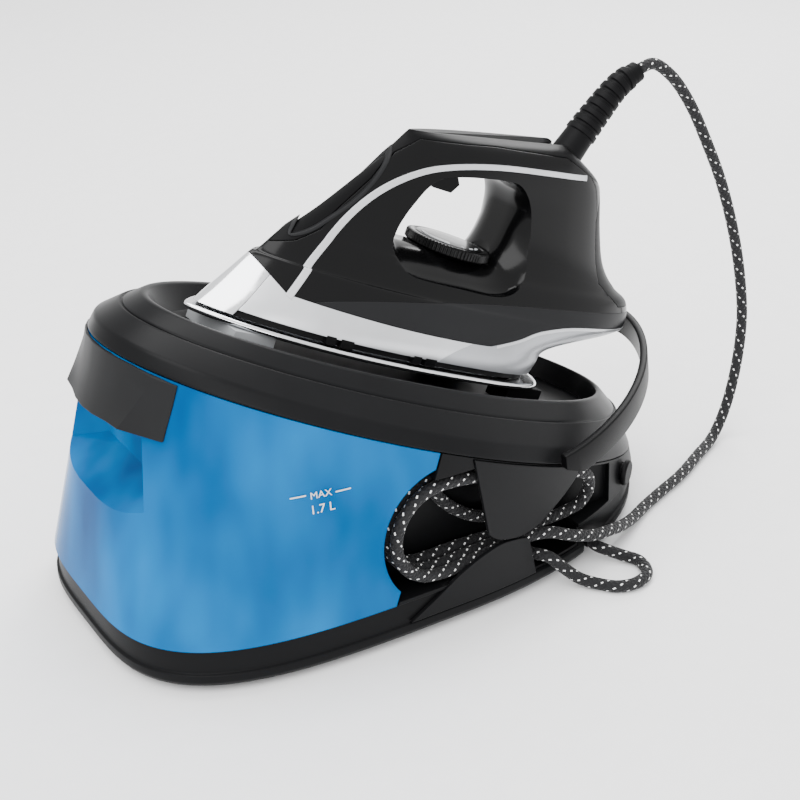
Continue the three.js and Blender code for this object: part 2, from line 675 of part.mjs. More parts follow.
// The ribbed sleeve where the cord leaves the handle: a taper with rings standing proud.
function strainRelief() {
  const middle = [[-4.7, -12], [0, 0], [11, 28], [21, 49], [31, 60]];
  const path = new THREE.CatmullRomCurve3(middle.map(([x, z]) => (
    new THREE.Vector3(RELIEF_X + x, 0, RELIEF_Z + z))));
  const steps = 22;
  const rings = [];
  for (let i = 0; i <= steps; i += 1) {
    const t = i / steps;
    const at = path.getPointAt(t);
    const along = path.getTangentAt(t);
    const side = new THREE.Vector3(0, 1, 0);
    const up = new THREE.Vector3().crossVectors(along, side);
    const rib = t > 0.35 && t < 0.92 && i % 2 === 0 ? 1 : 0;
    const radius = RELIEF_RADIUS + (RELIEF_TIP_RADIUS - RELIEF_RADIUS) * t + rib;
    rings.push(Array.from({ length: 12 }, (_, k) => {
      const a = (2 * Math.PI * k) / 12;
      return at.clone().addScaledVector(side, radius * Math.cos(a)).addScaledVector(up, radius * Math.sin(a));
    }));
  }
  return loft(rings);
}

function dial() {
  const body = solid(disc(DIAL_DIAMETER / 2, DIAL_THICKNESS, 0.8, 32));
  const shaft = disc(4.5, 22, 0.5, 16);
  shaft.translate(0, 0, -21);
  return surface(body.add(solid(shaft)));
}

function steamTrigger() {
  const outline = [[-14, 0], [10, 0.5], [13, -4], [9, -9.5], [-4, -9], [-11, -6]];
  return surface(prism(outline, -5.6, 5.6));
}

// ---------- Lock hoop, in its own frame: x rearward from its feet ----------
function hoopPoint(angle, grow) {
  const c = Math.cos(angle);
  const s = Math.sin(angle);
  return [(HOOP_REACH + grow) * Math.abs(c) ** (2 / HOOP_POWER),
    (HOOP_HALF_WIDTH + grow) * Math.sign(s) * Math.abs(s) ** (2 / HOOP_POWER)];
}

function lockHoop() {
  const steps = 32;
  const rings = [];
  const half = HOOP_WIDTH / 2;
  for (let i = 0; i <= steps; i += 1) {
    const angle = -Math.PI / 2 + (Math.PI * i) / steps;
    const [ix, iy] = hoopPoint(angle, -HOOP_THICKNESS / 2);
    const [ox, oy] = hoopPoint(angle, HOOP_THICKNESS / 2);
    const mix = (t) => [ix + (ox - ix) * t, iy + (oy - iy) * t];
    const section = [[0, -half + 1], [0, half - 1], [0.2, half], [0.8, half], [1, half - 1],
      [1, -half + 1], [0.8, -half], [0.2, -half]];
    rings.push(section.map(([t, z]) => {
      const [x, y] = mix(t);
      return new THREE.Vector3(x, y, z);
    }));
  }
  // The feet end on the cover's lower edge, which this cut follows.
  const fall = Math.tan(TILT + HOOP_RISE);
  const below = prism([[-20, 20 * fall], [40, -40 * fall], [40, -60], [-20, -60]], -140, 140);
  return surface(solid(loft(rings)).subtract(below));
}

// ---------- The steam cord ----------
// A half turn or more of the stored winding, at an even pace round its centre.
function turn(centreX, centreZ, radius, fromDegrees, toDegrees, fromY, toY, steps) {
  return Array.from({ length: steps + 1 }, (_, i) => {
    const t = i / steps;
    const angle = THREE.MathUtils.degToRad(fromDegrees + (toDegrees - fromDegrees) * t);
    return [centreX + radius * Math.cos(angle), fromY + (toY - fromY) * t,
      centreZ + radius * Math.sin(angle)];
  });
}

function cordRoute() {
  const mid = FRONT_LAYER + LAYER;
  const back = FRONT_LAYER + 2 * LAYER;
  return [
    [190 + RELIEF_CLEARANCE, 0, 260], [201, 0, 261], [215, -1, 252], [231, -2, 233], [247, -4, 205],
    [261, -5, 178], [273, -8, 144], [281, -11, 110], [285, -13, 78], [281, -16, 45], [271, -20, 19],
    [255, -27, 5.5], [232, -38, 3.8],
    [204, -52, 3.8], [180, -61, 3.8], [160, -69, 4], [143, -78, 6], [128, -86, 10], [112, -93, 15.5],
    [94, -98.5, 21], [77, -100, 27.5], [62, -98, 33.5], [46, -95.5, 34.5], [16, -97.5, 34],
    ...turn(COIL_X, COIL_Z, COIL_RADIUS, 270, 90, FRONT_LAYER, FRONT_LAYER, 7),
    [16, -97.5, 85], [46, -93.5, 74], [68, -90.5, 65.5],
    ...turn(84, 47.7, 14, 78, -90, -89.5, -84.5, 4),
    [60, -86, 33.8], [40, -89, 34], [10, mid, 34],
    ...turn(COIL_X, COIL_Z, COIL_RADIUS, 270, 90, mid, mid, 7),
    [8, mid, 88], [28, mid, 80],
    ...turn(34, 62.5, 15, 70, -90, mid + 0.5, back, 5),
    [20, back, 51], [6, back, 60], [-5, back, 71],
    ...turn(COIL_X - 4, COIL_Z - 3, 23, 75, 270, back, back, 7),
    [2, back, 35.5], [18, back, 35], [31, -83.6, 33.5], [43, -86, 25.5], [52, -92.5, 20.5], [60, -100.5, 19],
    [67, -106.5, 12], [74, -112.5, 6], [82, -120.5, 3.8], [90, -128.5, 3.8], [102, -131, 3.8],
    [113, -126, 3.8], [117, -114, 3.8], [112, -106, 4.6], [105, -99, 7.2], [GLAND_X + 0.8, -94.5, 9],
    [GLAND_X, -90.2, GLAND_Z],
  ];
}

function steamCord() {
  return tube(cordRoute(), CORD_DIAMETER / 2, 80, 8);
}

// The tapered sleeve where the cord leaves the base.
function cordGland() {
  const sleeve = turned([[0, 0], [GLAND_RADIUS, 0], [GLAND_RADIUS, 3], [GLAND_RADIUS - 0.6, 3.4],
    [CORD_DIAMETER / 2 + 0.4, 24.5], [0, 24.5]], 16);
  sleeve.rotateX(Math.PI / 2);
  sleeve.translate(GLAND_X, -65, GLAND_Z);
  return sleeve;
}

// ---------- Works inside the base ----------
function boiler() {
  const profile = [[0, 0], [40, 0], [46, 2], [48, 6], [48, 32], [45, BOILER_HEIGHT - 3.5],
    [38, BOILER_HEIGHT - 0.5], [0, BOILER_HEIGHT]];
  return turned(profile, 32);
}

function heaterRing() {
  const profile = [];
  for (let i = 0; i <= 8; i += 1) {
    const a = (2 * Math.PI * i) / 8;
    profile.push(new THREE.Vector2(26 + 3 * Math.cos(a), 3 * Math.sin(a)));
  }
  profile[8] = profile[0].clone();
  const geometry = new THREE.LatheGeometry(profile, 24);
  geometry.rotateX(Math.PI / 2);
  return surface(solid(geometry));
}

function boilerStand() {
  return turned([[36, 0], [42, 0], [42, 10], [36, 10], [36, 0]], 24);
}

function pump() {
  const body = turned([[0, 0], [5, 0], [5, 6], [14, 7], [14, 24], [11, 25], [11, 44], [14, 45], [14, 60],
    [5, 61], [5, 67], [0, 67]], 20);
  body.rotateX(-Math.PI / 2);
  return body;
}

function steamValve() {
  const block = solid(box(-9, 9, -11, 11, 0, 16));
  const coil = disc(8, 12, 0.8, 16);
  coil.translate(0, 0, 15);
  return surface(block.add(solid(coil)));
}

function coupling() {
  return turned([[0, 12], [7.5, 12], [7.5, 0], [4.8, 0], [4.8, 8], [0, 8]], 20);
}

function controlPlate() {
  const plate = solid(box(-PANEL_LENGTH / 2 + GAP, PANEL_LENGTH / 2 - GAP, -1.5, 1.5,
    -PANEL_HEIGHT / 2 + GAP, PANEL_HEIGHT / 2 - GAP));
  const hole = (x, radius) => {
    const cut = disc(radius, 12, 0.2, 20);
    cut.rotateX(Math.PI / 2);
    cut.translate(x, 6, 0);
    return solid(cut);
  };
  return surface(plate.subtract(hole(-BUTTON_SPACING / 2, BUTTON_RADIUS + FIT))
    .subtract(hole(BUTTON_SPACING / 2, BUTTON_RADIUS + FIT)).subtract(hole(0, LAMP_RADIUS + GAP)));
}

function pushButton() {
  const button = disc(BUTTON_RADIUS, 7, 0.7, 20);
  button.rotateX(-Math.PI / 2);
  return button;
}

// ---------- Assembly: base ----------
const base = new THREE.Group();
model.add(base);
add(base, 'bottom_pan', bottomPan(), 'darkPlastic');
add(base, 'cord_channel', cordChannel(), 'blackPlastic');
const footPlaces = [['foot_front_near', -135, -58], ['foot_front_far', -135, 58],
  ['foot_rear_near', 118, -52], ['foot_rear_far', 118, 52]];
for (const [name, x, y] of footPlaces) {
  add(base, name, disc(10, FOOT_HEIGHT - GAP, 0.7, 20), 'rubber').position.set(x, y, 0);
}
add(base, 'rear_housing', rearHousing(), 'darkPlastic');
add(base, 'cover', cover(), 'coverPlastic');
add(base, 'tray_dish', trayDish(), 'coverPlastic');
add(base, 'upper_clasp', upperClasp(), 'coverPlastic');
add(base, 'lower_clasp', lowerClasp(), 'coverPlastic');
add(base, 'cord_gland', cordGland(), 'rubber');
add(base, 'calc_cap', placedOnWall(turned([[0, 0], [CAP_RADIUS - 2 - FIT, 0], [CAP_RADIUS - 2 - FIT, 11.5],
  [CAP_RADIUS, 11.5], [CAP_RADIUS, 13.5], [CAP_RADIUS - 0.8, 14.5], [0, 14.5]], 24), -11), 'blackPlastic');

const powerInlet = alongX(turned([[0, 0], [8, 0], [8, 3], [6, 3.5], [4.6, 9], [0, 9]], 20), 0, 0, 0);
add(base, 'power_inlet', powerInlet, 'rubber').position.set(BASE_LENGTH / 2 + 0.4, 0, 18.5);

add(base, 'boiler', boiler(), 'steel').position.set(BOILER_X, BOILER_Y, BOILER_Z);
add(base, 'heater_ring', heaterRing(), 'steel').position.set(BOILER_X, BOILER_Y, BOILER_Z - 3 - GAP);
add(base, 'boiler_stand', boilerStand(), 'castMetal').position.set(BOILER_X, BOILER_Y, BOILER_Z - GAP - 10);
const boilerTop = BOILER_Z + BOILER_HEIGHT + GAP;
add(base, 'boiler_thermostat', disc(10, 6, 0.8, 20), 'white')
  .position.set(BOILER_X + 22, BOILER_Y + 12, boilerTop);
const valveSteps = [[0, 0], [6, 0], [6, 5], [3.5, 6], [3.5, 11], [5, 12], [5, 15], [0, 15]];
add(base, 'safety_valve', turned(valveSteps, 16), 'brass')
  .position.set(BOILER_X - 6, BOILER_Y + 26, boilerTop);
add(base, 'pump', pump(), 'white').position.set(PUMP_X, 8, PUMP_Z);
add(base, 'steam_valve', steamValve(), 'castMetal').position.set(0, -46, 30);
add(base, 'tank_coupling', alongX(coupling(), -31.5, COUPLING_Y, COUPLING_Z), 'brass');
add(base, 'circuit_board', box(126, 164, -22, 38, 13, 14.6), 'board');
const hoses = [
  ['inlet_hose', [[-19, COUPLING_Y, COUPLING_Z], [-13, COUPLING_Y, 44.6], [-7, -13, 42], [PUMP_X, -2, PUMP_Z],
    [PUMP_X, 7.7, PUMP_Z]], 3],
  ['pump_hose', [[PUMP_X, 75.4, PUMP_Z], [PUMP_X, 80, PUMP_Z], [4, 87, 38], [22, 86, 35], [40, 77, 34],
    [48, 66, 34], [50, 60.4, 34]], 3],
  ['steam_hose', [[BOILER_X - 28, BOILER_Y - 10, boilerTop], [BOILER_X - 29, BOILER_Y - 12, 68],
    [26, -18, 76], [8, -38, 72], [0, -45, 63], [0, -46, 57.5]], 3.2],
  ['outlet_hose', [[9.5, -46, 38], [15, -46, 37.8], [34, -58, 24], [66, -64, 13.5], [88, -58, 9.8],
    [98, -55, 9.5], [GLAND_X + 0.5, -60, 9.5], [GLAND_X, -64.6, GLAND_Z]], 3.2],
];
for (const [name, points, radius] of hoses) {
  add(base, name, tube(points, radius, 14, 8), 'silicone');
}

const panel = new THREE.Group();
panel.position.set(PANEL_X, PANEL_Y, PANEL_Z);
base.add(panel);
add(panel, 'control_plate', controlPlate(), 'blackPlastic');
add(panel, 'power_button', pushButton(), 'glossBlack').position.set(-BUTTON_SPACING / 2, -3.2, 0);
add(panel, 'eco_button', pushButton(), 'glossBlack').position.set(BUTTON_SPACING / 2, -3.2, 0);
const lamp = add(panel, 'control_lamp', disc(LAMP_RADIUS, 4, 0.4, 12), 'lens');
lamp.rotation.x = -Math.PI / 2;
lamp.position.set(0, -2.2, 0);

// Rests in the tray: their own frame slopes with it.
const tray = new THREE.Group();
tray.position.z = EDGE_HEIGHT;
tray.rotation.y = TILT;
base.add(tray);
const floorUp = TRAY_RISE * Math.cos(TILT) + GAP;
const soleUp = IRON_RISE * Math.cos(TILT) - GAP;
const restPlaces = [['nose_rest', -112, -86, -26, 26, 'greyPad'],
  ['heel_rest_near', 66, 92, -44, -26, 'rubber'], ['heel_rest_far', 66, 92, 26, 44, 'rubber']];
for (const [name, x0, x1, y0, y1, material] of restPlaces) {
  add(tray, name, box(x0, x1, y0, y1, floorUp, soleUp), material);
}

// ---------- Assembly: tank ----------
const tank = new THREE.Group();
model.add(tank);
add(tank, 'tank_shell', tankShell(), 'tankBlue');
add(tank, 'tank_handle', tankHandle(), 'coverPlastic');
add(tank, 'tank_valve', tankValve(), 'blackPlastic');

// ---------- Assembly: iron ----------
const iron = new THREE.Group();
iron.position.set(IRON_X, 0, EDGE_HEIGHT - SLOPE * IRON_X + IRON_RISE);
iron.rotation.y = TILT;
model.add(iron);
add(iron, 'sole_plate', solePlate(), 'chrome');
add(iron, 'steam_chamber', steamChamber(), 'castMetal');
add(iron, 'skirt', silverSkirt(), 'silver');
add(iron, 'nose_cap', noseCap(), 'chrome');
add(iron, 'iron_body', bodyShell(), 'glossBlack');
add(iron, 'grip_cover', gripCover(), 'blackPlastic');
add(iron, 'rear_cover', surface(largest(ironHull(0).intersect(rearPart(0)))), 'blackPlastic');
add(iron, 'trim_near', trimStrip(-1), 'silver');
add(iron, 'trim_far', trimStrip(1), 'silver');
add(iron, 'cord_relief', strainRelief(), 'rubber');
add(iron, 'dial', dial(), 'blackPlastic').position.set(DIAL_X, 0, SADDLE_HEIGHT - 1.2);
add(iron, 'steam_trigger', steamTrigger(), 'blackPlastic').position.set(TRIGGER_X, 0, TRIGGER_Z);
const switchBody = box(TRIGGER_X - 6, TRIGGER_X + 10, -4, 4, TRIGGER_Z + 3, TRIGGER_Z + 6.6);
add(iron, 'micro_switch', switchBody, 'white');
add(iron, 'thermostat', disc(9, 10, 0.8, 20), 'white').position.set(DIAL_X, 0, 19 + GAP);

// ---------- Assembly: hoop ----------
const hoop = new THREE.Group();
hoop.position.set(HOOP_X, 0, HOOP_Z);
hoop.rotation.y = -HOOP_RISE;
model.add(hoop);
add(hoop, 'lock_hoop', lockHoop(), 'coverPlastic');

// ---------- Assembly: cord ----------
add(model, 'steam_cord', steamCord(), 'textile');

export default model;
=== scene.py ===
"""A steam generator iron in a plain studio: fine shells and finishes round the CAD frame."""
import json
import math

import bmesh
import bpy
import numpy as np
from mathutils import Matrix, Vector


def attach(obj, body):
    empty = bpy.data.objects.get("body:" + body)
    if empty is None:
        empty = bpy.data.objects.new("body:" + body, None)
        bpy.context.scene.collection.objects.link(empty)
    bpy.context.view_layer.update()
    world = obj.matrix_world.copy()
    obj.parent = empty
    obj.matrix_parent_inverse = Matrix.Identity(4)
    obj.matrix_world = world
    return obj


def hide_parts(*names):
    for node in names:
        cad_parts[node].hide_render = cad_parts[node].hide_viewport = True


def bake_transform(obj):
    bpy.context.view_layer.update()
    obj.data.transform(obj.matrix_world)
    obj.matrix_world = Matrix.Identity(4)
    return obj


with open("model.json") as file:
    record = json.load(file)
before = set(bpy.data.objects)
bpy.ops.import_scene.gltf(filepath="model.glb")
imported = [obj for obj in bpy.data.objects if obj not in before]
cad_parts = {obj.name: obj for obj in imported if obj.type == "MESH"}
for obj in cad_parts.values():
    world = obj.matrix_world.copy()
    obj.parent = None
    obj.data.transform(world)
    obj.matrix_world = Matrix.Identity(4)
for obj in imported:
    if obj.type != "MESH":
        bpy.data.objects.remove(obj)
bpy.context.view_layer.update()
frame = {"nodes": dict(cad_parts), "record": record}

# Sizes in millimetres, the same as the CAD part's, before the part is centred.
BASE_LENGTH = 363
BASE_WIDTH = 209
SLOPE = 0.42
EDGE_HEIGHT = 104.5
COVER_LENGTH = 342
COVER_OFFSET = 11.5
STRIP_TOP = 12
PAN_TOP = 26
PAN_STEP = 1.5
WALL = 2.5
GAP = 0.3
GROOVE_RISE = 20
GROOVE_INSET = 17.5
RIM_RISE = 28
RIM_INSET = 29.5
RIM_WIDTH = 3
TRAY_RISE = 14
TRAY_DRAFT = 6
TANK_END_X = -34
TANK_END_Z = 60
TANK_END_LEAN = 0.33
TANK_WALL = 2.4
BEAK_WIDTH = 100
BEAK_BOTTOM = 137
BEAK_REACH = 5.5
SCOOP_WIDTH = 54
SCOOP_FLOOR = 103
SCOOP_BACK = -147
POCKET_DEPTH = 27
POCKET_REAR = 118
POCKET_FLOOR = 28.5
CHANNEL_FROM = 26
CHANNEL_TO = 88
CHANNEL_BOTTOM = 12.5
COIL_X = -14
COIL_Z = 61.5
COIL_RADIUS = 28
CORD_DIAMETER = 7
LAYER = 7.7
FRONT_LAYER = -98.9
CLASP_INSET = 1.2
CLASP_THICKNESS = 2.2
GLAND_X = 100
GLAND_Z = 9.5
GLAND_RADIUS = 5.6
SOLE_LENGTH = 228
SOLE_WIDTH = 107
SOLE_THICKNESS = 3.6
IRON_X = -110.7
IRON_RISE = 27
HEEL_REACH = 299
IRON_HEIGHT = 130
HANDLE_WIDTH = 41
HANDLE_RISE = 0.16
HANDLE_DROP_FROM = 33
DROP_RATE = 4
LEVEL_TILT = 0.03
NOSE_LEAN = 1.32
DIAL_DIAMETER = 50
DIAL_THICKNESS = 6.5
DIAL_X = 153
SADDLE_HEIGHT = 62
RELIEF_X = 214
RELIEF_Z = 130
RELIEF_LEAN = 0.374
RELIEF_RADIUS = 10.4
HOOP_X = 66
HOOP_Z = 77
HOOP_REACH = 126
HOOP_HALF_WIDTH = 103
HOOP_WIDTH = 17
HOOP_THICKNESS = 5
HOOP_ANGLE = math.radians(9)
HOOP_POWER = 1.7
PAN_FRONT_POWER = 3.6
PAN_REAR_POWER = 2.15
COVER_POWER = 1.95
GLAND_Y = -90.2
CAP_ANGLE = 0.572

LENS = 69.1
SENSOR = 36
CAMERA_PLACE = (-408.1, -677.1, 503.3)
CAMERA_AIM = (23.3, 0, 86.2)
CORD_STEP = 1.6
FLECK_PITCH = 0.0105
WORLD_STRENGTH = 1.6
FLOOR_SIZE = 6

MM = 0.001
TILT = math.atan(SLOPE)
FRONT = -BASE_LENGTH / 2
HOOP_REAR = (HOOP_X + (HOOP_REACH + HOOP_THICKNESS / 2) * math.cos(HOOP_ANGLE)
             + HOOP_WIDTH / 2 * math.sin(HOOP_ANGLE))
CENTRE_X = (FRONT + HOOP_REAR) / 2
IRON_PLACE = np.array([IRON_X, 0, EDGE_HEIGHT - SLOPE * IRON_X + IRON_RISE])
SIDES = 240
IRON_SIDES = 160


def row(x, y, z):
    """A point of the uncentred base frame, in metres of the row frame."""
    return ((x - CENTRE_X) * MM, y * MM, z * MM)


# ---------- Camera ----------
def make_camera():
    camera = bpy.data.objects.new("camera", bpy.data.cameras.new("camera"))
    bpy.context.collection.objects.link(camera)
    camera.data.lens = LENS
    camera.data.sensor_width = SENSOR
    camera.location = row(*CAMERA_PLACE)
    aim = Vector(row(*CAMERA_AIM)) - camera.location
    camera.rotation_euler = aim.to_track_quat("-Z", "Y").to_euler()
    bpy.context.scene.camera = camera


make_camera()


# ---------- Finishes ----------
def new_material(name, base, roughness, **settings):
    """A principled material, and what its node makers need."""
    material = bpy.data.materials.new("finish_" + name)
    material.use_nodes = True
    shader = material.node_tree.nodes["Principled BSDF"]
    shader.inputs["Base Color"].default_value = (*base, 1)
    shader.inputs["Roughness"].default_value = roughness
    for key, value in settings.items():
        shader.inputs[key.replace("_", " ")].default_value = value
    return material, material.node_tree, shader


def add_node(tree, kind, **values):
    """A node with its plain inputs and settings given by name."""
    node = tree.nodes.new(kind)
    for key, value in values.items():
        if key in node.inputs:
            node.inputs[key].default_value = value
        else:
            setattr(node, key, value)
    return node


def noise(tree, scale, detail=3, stretch=(1, 1, 1)):
    """Noise over object coordinates, which are metres."""
    place = add_node(tree, "ShaderNodeTexCoord")
    mapping = add_node(tree, "ShaderNodeMapping")
    mapping.inputs["Scale"].default_value = stretch
    texture = add_node(tree, "ShaderNodeTexNoise", Scale=scale, Detail=detail)
    tree.links.new(place.outputs["Object"], mapping.inputs["Vector"])
    tree.links.new(mapping.outputs["Vector"], texture.inputs["Vector"])
    return texture


def spread(tree, source, low, high):
    """A noise value spread between two numbers."""
    span = add_node(tree, "ShaderNodeMapRange")
    span.inputs["From Min"].default_value = 0.3
    span.inputs["From Max"].default_value = 0.7
    span.inputs["To Min"].default_value = low
    span.inputs["To Max"].default_value = high
    tree.links.new(source, span.inputs["Value"])
    return span.outputs["Result"]


def tint(tree, shader, source, dark, light):
    """Base colour varied between two tones."""
    ramp = add_node(tree, "ShaderNodeValToRGB")
    ramp.color_ramp.elements[0].position = 0.3
    ramp.color_ramp.elements[1].position = 0.7
    ramp.color_ramp.elements[0].color = (*dark, 1)
    ramp.color_ramp.elements[1].color = (*light, 1)
    tree.links.new(source, ramp.inputs["Fac"])
    tree.links.new(ramp.outputs["Color"], shader.inputs["Base Color"])


def bumpy(tree, shader, source, strength, distance, round_edges=0.0):
    """A bump from a height, over edges that are rounded a little."""
    bump = add_node(tree, "ShaderNodeBump", Strength=strength, Distance=distance)
    tree.links.new(source, bump.inputs["Height"])
    if round_edges:
        edge = add_node(tree, "ShaderNodeBevel", samples=4, Radius=round_edges)
        tree.links.new(edge.outputs["Normal"], bump.inputs["Normal"])
    tree.links.new(bump.outputs["Normal"], shader.inputs["Normal"])


def moulded(name, base, roughness, grain=0.12, round_edges=0.0006, **settings):
    """Moulded plastic: a fine spark-eroded grain, and slow changes of tone and gloss."""
    material, tree, shader = new_material(name, base, roughness, **settings)
    fine = noise(tree, 2600, 2)
    slow = noise(tree, 22, 3)
    tone = np.array(base)
    tint(tree, shader, slow.outputs["Fac"], tone * 0.9, tone * 1.12)
    rough = spread(tree, slow.outputs["Fac"], roughness * 0.9, roughness * 1.12)
    tree.links.new(rough, shader.inputs["Roughness"])
    bumpy(tree, shader, fine.outputs["Fac"], grain, 0.00012, round_edges)
    return material


def metal(name, base, roughness, stretch, scratch=0.08, **settings):
    """Metal with fine lines along one direction."""
    material, tree, shader = new_material(name, base, roughness, Metallic=1.0, **settings)
    lines = noise(tree, 900, 2, stretch)
    rough = spread(tree, lines.outputs["Fac"], roughness * 0.8, roughness * 1.3)
    tree.links.new(rough, shader.inputs["Roughness"])
    bumpy(tree, shader, lines.outputs["Fac"], scratch, 0.00008, 0.0003)
    return material


def tank_material():
    """Clear blue polystyrene, with the faint waves of a moulding."""
    material, tree, shader = new_material("tank_blue", (0.0, 0.11, 0.42), 0.09,
                                          Transmission_Weight=0.12, IOR=1.2, Specular_IOR_Level=0.1)
    waves = noise(tree, 26, 2, (1, 1, 0.4))
    tint(tree, shader, waves.outputs["Fac"], (0.0, 0.06, 0.2), (0.0, 0.155, 0.42))
    bumpy(tree, shader, waves.outputs["Fac"], 0.12, 0.002)
    return material


def textile_material():
    """A braided sleeve: crossing strands, with pairs of pale flecks. U runs along the cord in metres."""
    material, tree, shader = new_material("textile", (0.006, 0.006, 0.007), 0.7, Specular_IOR_Level=0.25,
                                          Sheen_Weight=0.06, Sheen_Roughness=0.5)
    link = tree.links.new
    coordinate = add_node(tree, "ShaderNodeUVMap", uv_map="along")
    split = add_node(tree, "ShaderNodeSeparateXYZ")
    link(coordinate.outputs["UV"], split.inputs["Vector"])

    def math_node(kind, a, b=None):
        node = add_node(tree, "ShaderNodeMath", operation=kind)
        for i, value in enumerate((a, b)):
            if value is None:
                continue
            if isinstance(value, (int, float)):
                node.inputs[i].default_value = value
            else:
                link(value, node.inputs[i])
        return node.outputs[0]

    along = math_node("MULTIPLY", split.outputs["X"], 1 / FLECK_PITCH)
    around = split.outputs["Y"]
    lengthways = math_node("MULTIPLY", along, 3.0)
    crossways = math_node("MULTIPLY", around, 6.0)
    full_turn = 2 * math.pi
    strand_a = math_node("SINE", math_node("MULTIPLY", math_node("ADD", lengthways, crossways), full_turn))
    strand_b = math_node("SINE", math_node("MULTIPLY", math_node("SUBTRACT", lengthways, crossways),
                                           full_turn))
    height = math_node("MAXIMUM", strand_a, strand_b)
    # A fleck sits where a pale strand of one winding comes to the top.
    winding = math_node("MULTIPLY", around, 3.0)
    helix = math_node("FRACT", math_node("ADD", along, winding))
    cross = math_node("FRACT", math_node("SUBTRACT", math_node("MULTIPLY", along, 2.0), winding))
    pale = math_node("MULTIPLY", math_node("LESS_THAN", helix, 0.15), math_node("LESS_THAN", cross, 0.36))
    mix = add_node(tree, "ShaderNodeMix", data_type="RGBA")
    link(pale, mix.inputs[0])
    mix.inputs[6].default_value = (0.006, 0.006, 0.007, 1)
    mix.inputs[7].default_value = (0.8, 0.8, 0.79, 1)
    link(mix.outputs[2], shader.inputs["Base Color"])
    bump = add_node(tree, "ShaderNodeBump", Strength=0.7, Distance=0.0004)
    link(height, bump.inputs["Height"])
    link(bump.outputs["Normal"], shader.inputs["Normal"])
    return material


def board_material():
    """A coated circuit board with tracks showing through."""
    material, tree, shader = new_material("board", (0.02, 0.16, 0.06), 0.35)
    tracks = noise(tree, 420, 0)
    tint(tree, shader, tracks.outputs["Fac"], (0.012, 0.11, 0.04), (0.05, 0.26, 0.1))
    bumpy(tree, shader, tracks.outputs["Fac"], 0.3, 0.0001)
    return material


MATT = {"Specular_IOR_Level": 0.08}
LOOKS = {
    "darkPlastic": moulded("dark_plastic", (0.0035, 0.0036, 0.004), 0.4, 0.2, **MATT),
    "coverPlastic": moulded("cover_plastic", (0.0052, 0.0053, 0.0058), 0.34, 0.16, **MATT),
    "beak": moulded("beak_plastic", (0.012, 0.0122, 0.0128), 0.4, 0.16, **MATT),
    "blackPlastic": moulded("black_plastic", (0.0022, 0.0022, 0.0025), 0.36, 0.25, **MATT),
    "glossBlack": moulded("gloss_black", (0.0018, 0.0018, 0.002), 0.16, 0.02, Specular_IOR_Level=0.14,
                          Coat_Weight=0.05, Coat_Roughness=0.08),
    "flange": moulded("flange_plastic", (0.009, 0.0092, 0.01), 0.32, 0.1, Specular_IOR_Level=0.14),
    "silver": moulded("silver_paint", (0.6, 0.61, 0.63), 0.3, 0.06, Metallic=0.75, Coat_Weight=0.2),
    "silverShade": moulded("silver_satin", (0.4, 0.41, 0.43), 0.36, 0.1, Metallic=0.75),
    "chrome": metal("chrome", (0.78, 0.79, 0.81), 0.1, (1, 1, 1), 0.01),
    "steel": metal("steel", (0.55, 0.56, 0.58), 0.3, (1, 1, 12)),
    "castMetal": moulded("cast_metal", (0.36, 0.37, 0.39), 0.5, 0.6, Metallic=0.9),
    "brass": metal("brass", (0.6, 0.42, 0.16), 0.28, (1, 1, 20)),
    "rubber": moulded("rubber", (0.0032, 0.0032, 0.0036), 0.5, 0.4, **MATT),
    "greyPad": moulded("grey_pad", (0.3, 0.31, 0.32), 0.5, 0.3),
    "silicone": moulded("silicone", (0.5, 0.5, 0.5), 0.4, 0.1, 0, Subsurface_Weight=0.2,
                        Subsurface_Radius=(0.002, 0.002, 0.002)),
    "lens": moulded("lens", (0.75, 0.76, 0.78), 0.08, 0.0, 0, Transmission_Weight=0.85),
    "board": board_material(),
    "white": moulded("white_nylon", (0.7, 0.7, 0.69), 0.42, 0.1),
    "mark": moulded("mark_paint", (0.62, 0.64, 0.66), 0.4, 0.05, 0),
    "tankBlue": tank_material(),
    "textile": textile_material(),
}


# ---------- Meshes ----------
def mesh_object(name, points, faces):
    mesh = bpy.data.meshes.new(name)
    mesh.from_pydata([tuple(p) for p in np.asarray(points, float)], [], faces)
    edit = bmesh.new()
    edit.from_mesh(mesh)
    bmesh.ops.recalc_face_normals(edit, faces=edit.faces)
    edit.to_mesh(mesh)
    edit.free()
    obj = bpy.data.objects.new(name, mesh)
    bpy.context.collection.objects.link(obj)
    return obj


def loft(rings, name="solid", closed=False):
    """A closed body through rings of equally many points; closed joins the last ring to the first."""
    rings = np.asarray(rings, float)
    levels, count, _ = rings.shape
    faces = []
    for r in range(levels if closed else levels - 1):
        below, above = r * count, (r + 1) % levels * count
        for i in range(count):
            after = (i + 1) % count
            faces.append((below + i, below + after, above + after, above + i))
    if not closed:
        faces += [tuple(range(count))[::-1], tuple(range((levels - 1) * count, levels * count))]
    return mesh_object(name, rings.reshape(-1, 3), faces)


def prism(outline, low, high):
    """A prism on an XZ outline, from one y to another."""
    outline = np.asarray(outline, float)
    return loft([[(x, y, z) for x, z in outline] for y in (low, high)])


def block(x0, x1, y0, y1, z0, z1):
    return prism([(x0, z0), (x1, z0), (x1, z1), (x0, z1)], y0, y1)


def combine(body, tool, operation="DIFFERENCE", keep_tool=False):
    """body cut by, cut to or joined with tool, which is used up unless it is kept."""
    change = body.modifiers.new("boolean", "BOOLEAN")
    change.operation = operation
    change.solver = "MANIFOLD"
    change.object = tool
    graph = bpy.context.evaluated_depsgraph_get()
    result = bpy.data.meshes.new_from_object(body.evaluated_get(graph))
    body.modifiers.clear()
    body.data = result
    if not keep_tool:
        bpy.data.objects.remove(tool)
    return body


def copy_of(body):
    twin = body.copy()
    twin.data = body.data.copy()
    bpy.context.collection.objects.link(twin)
    return twin


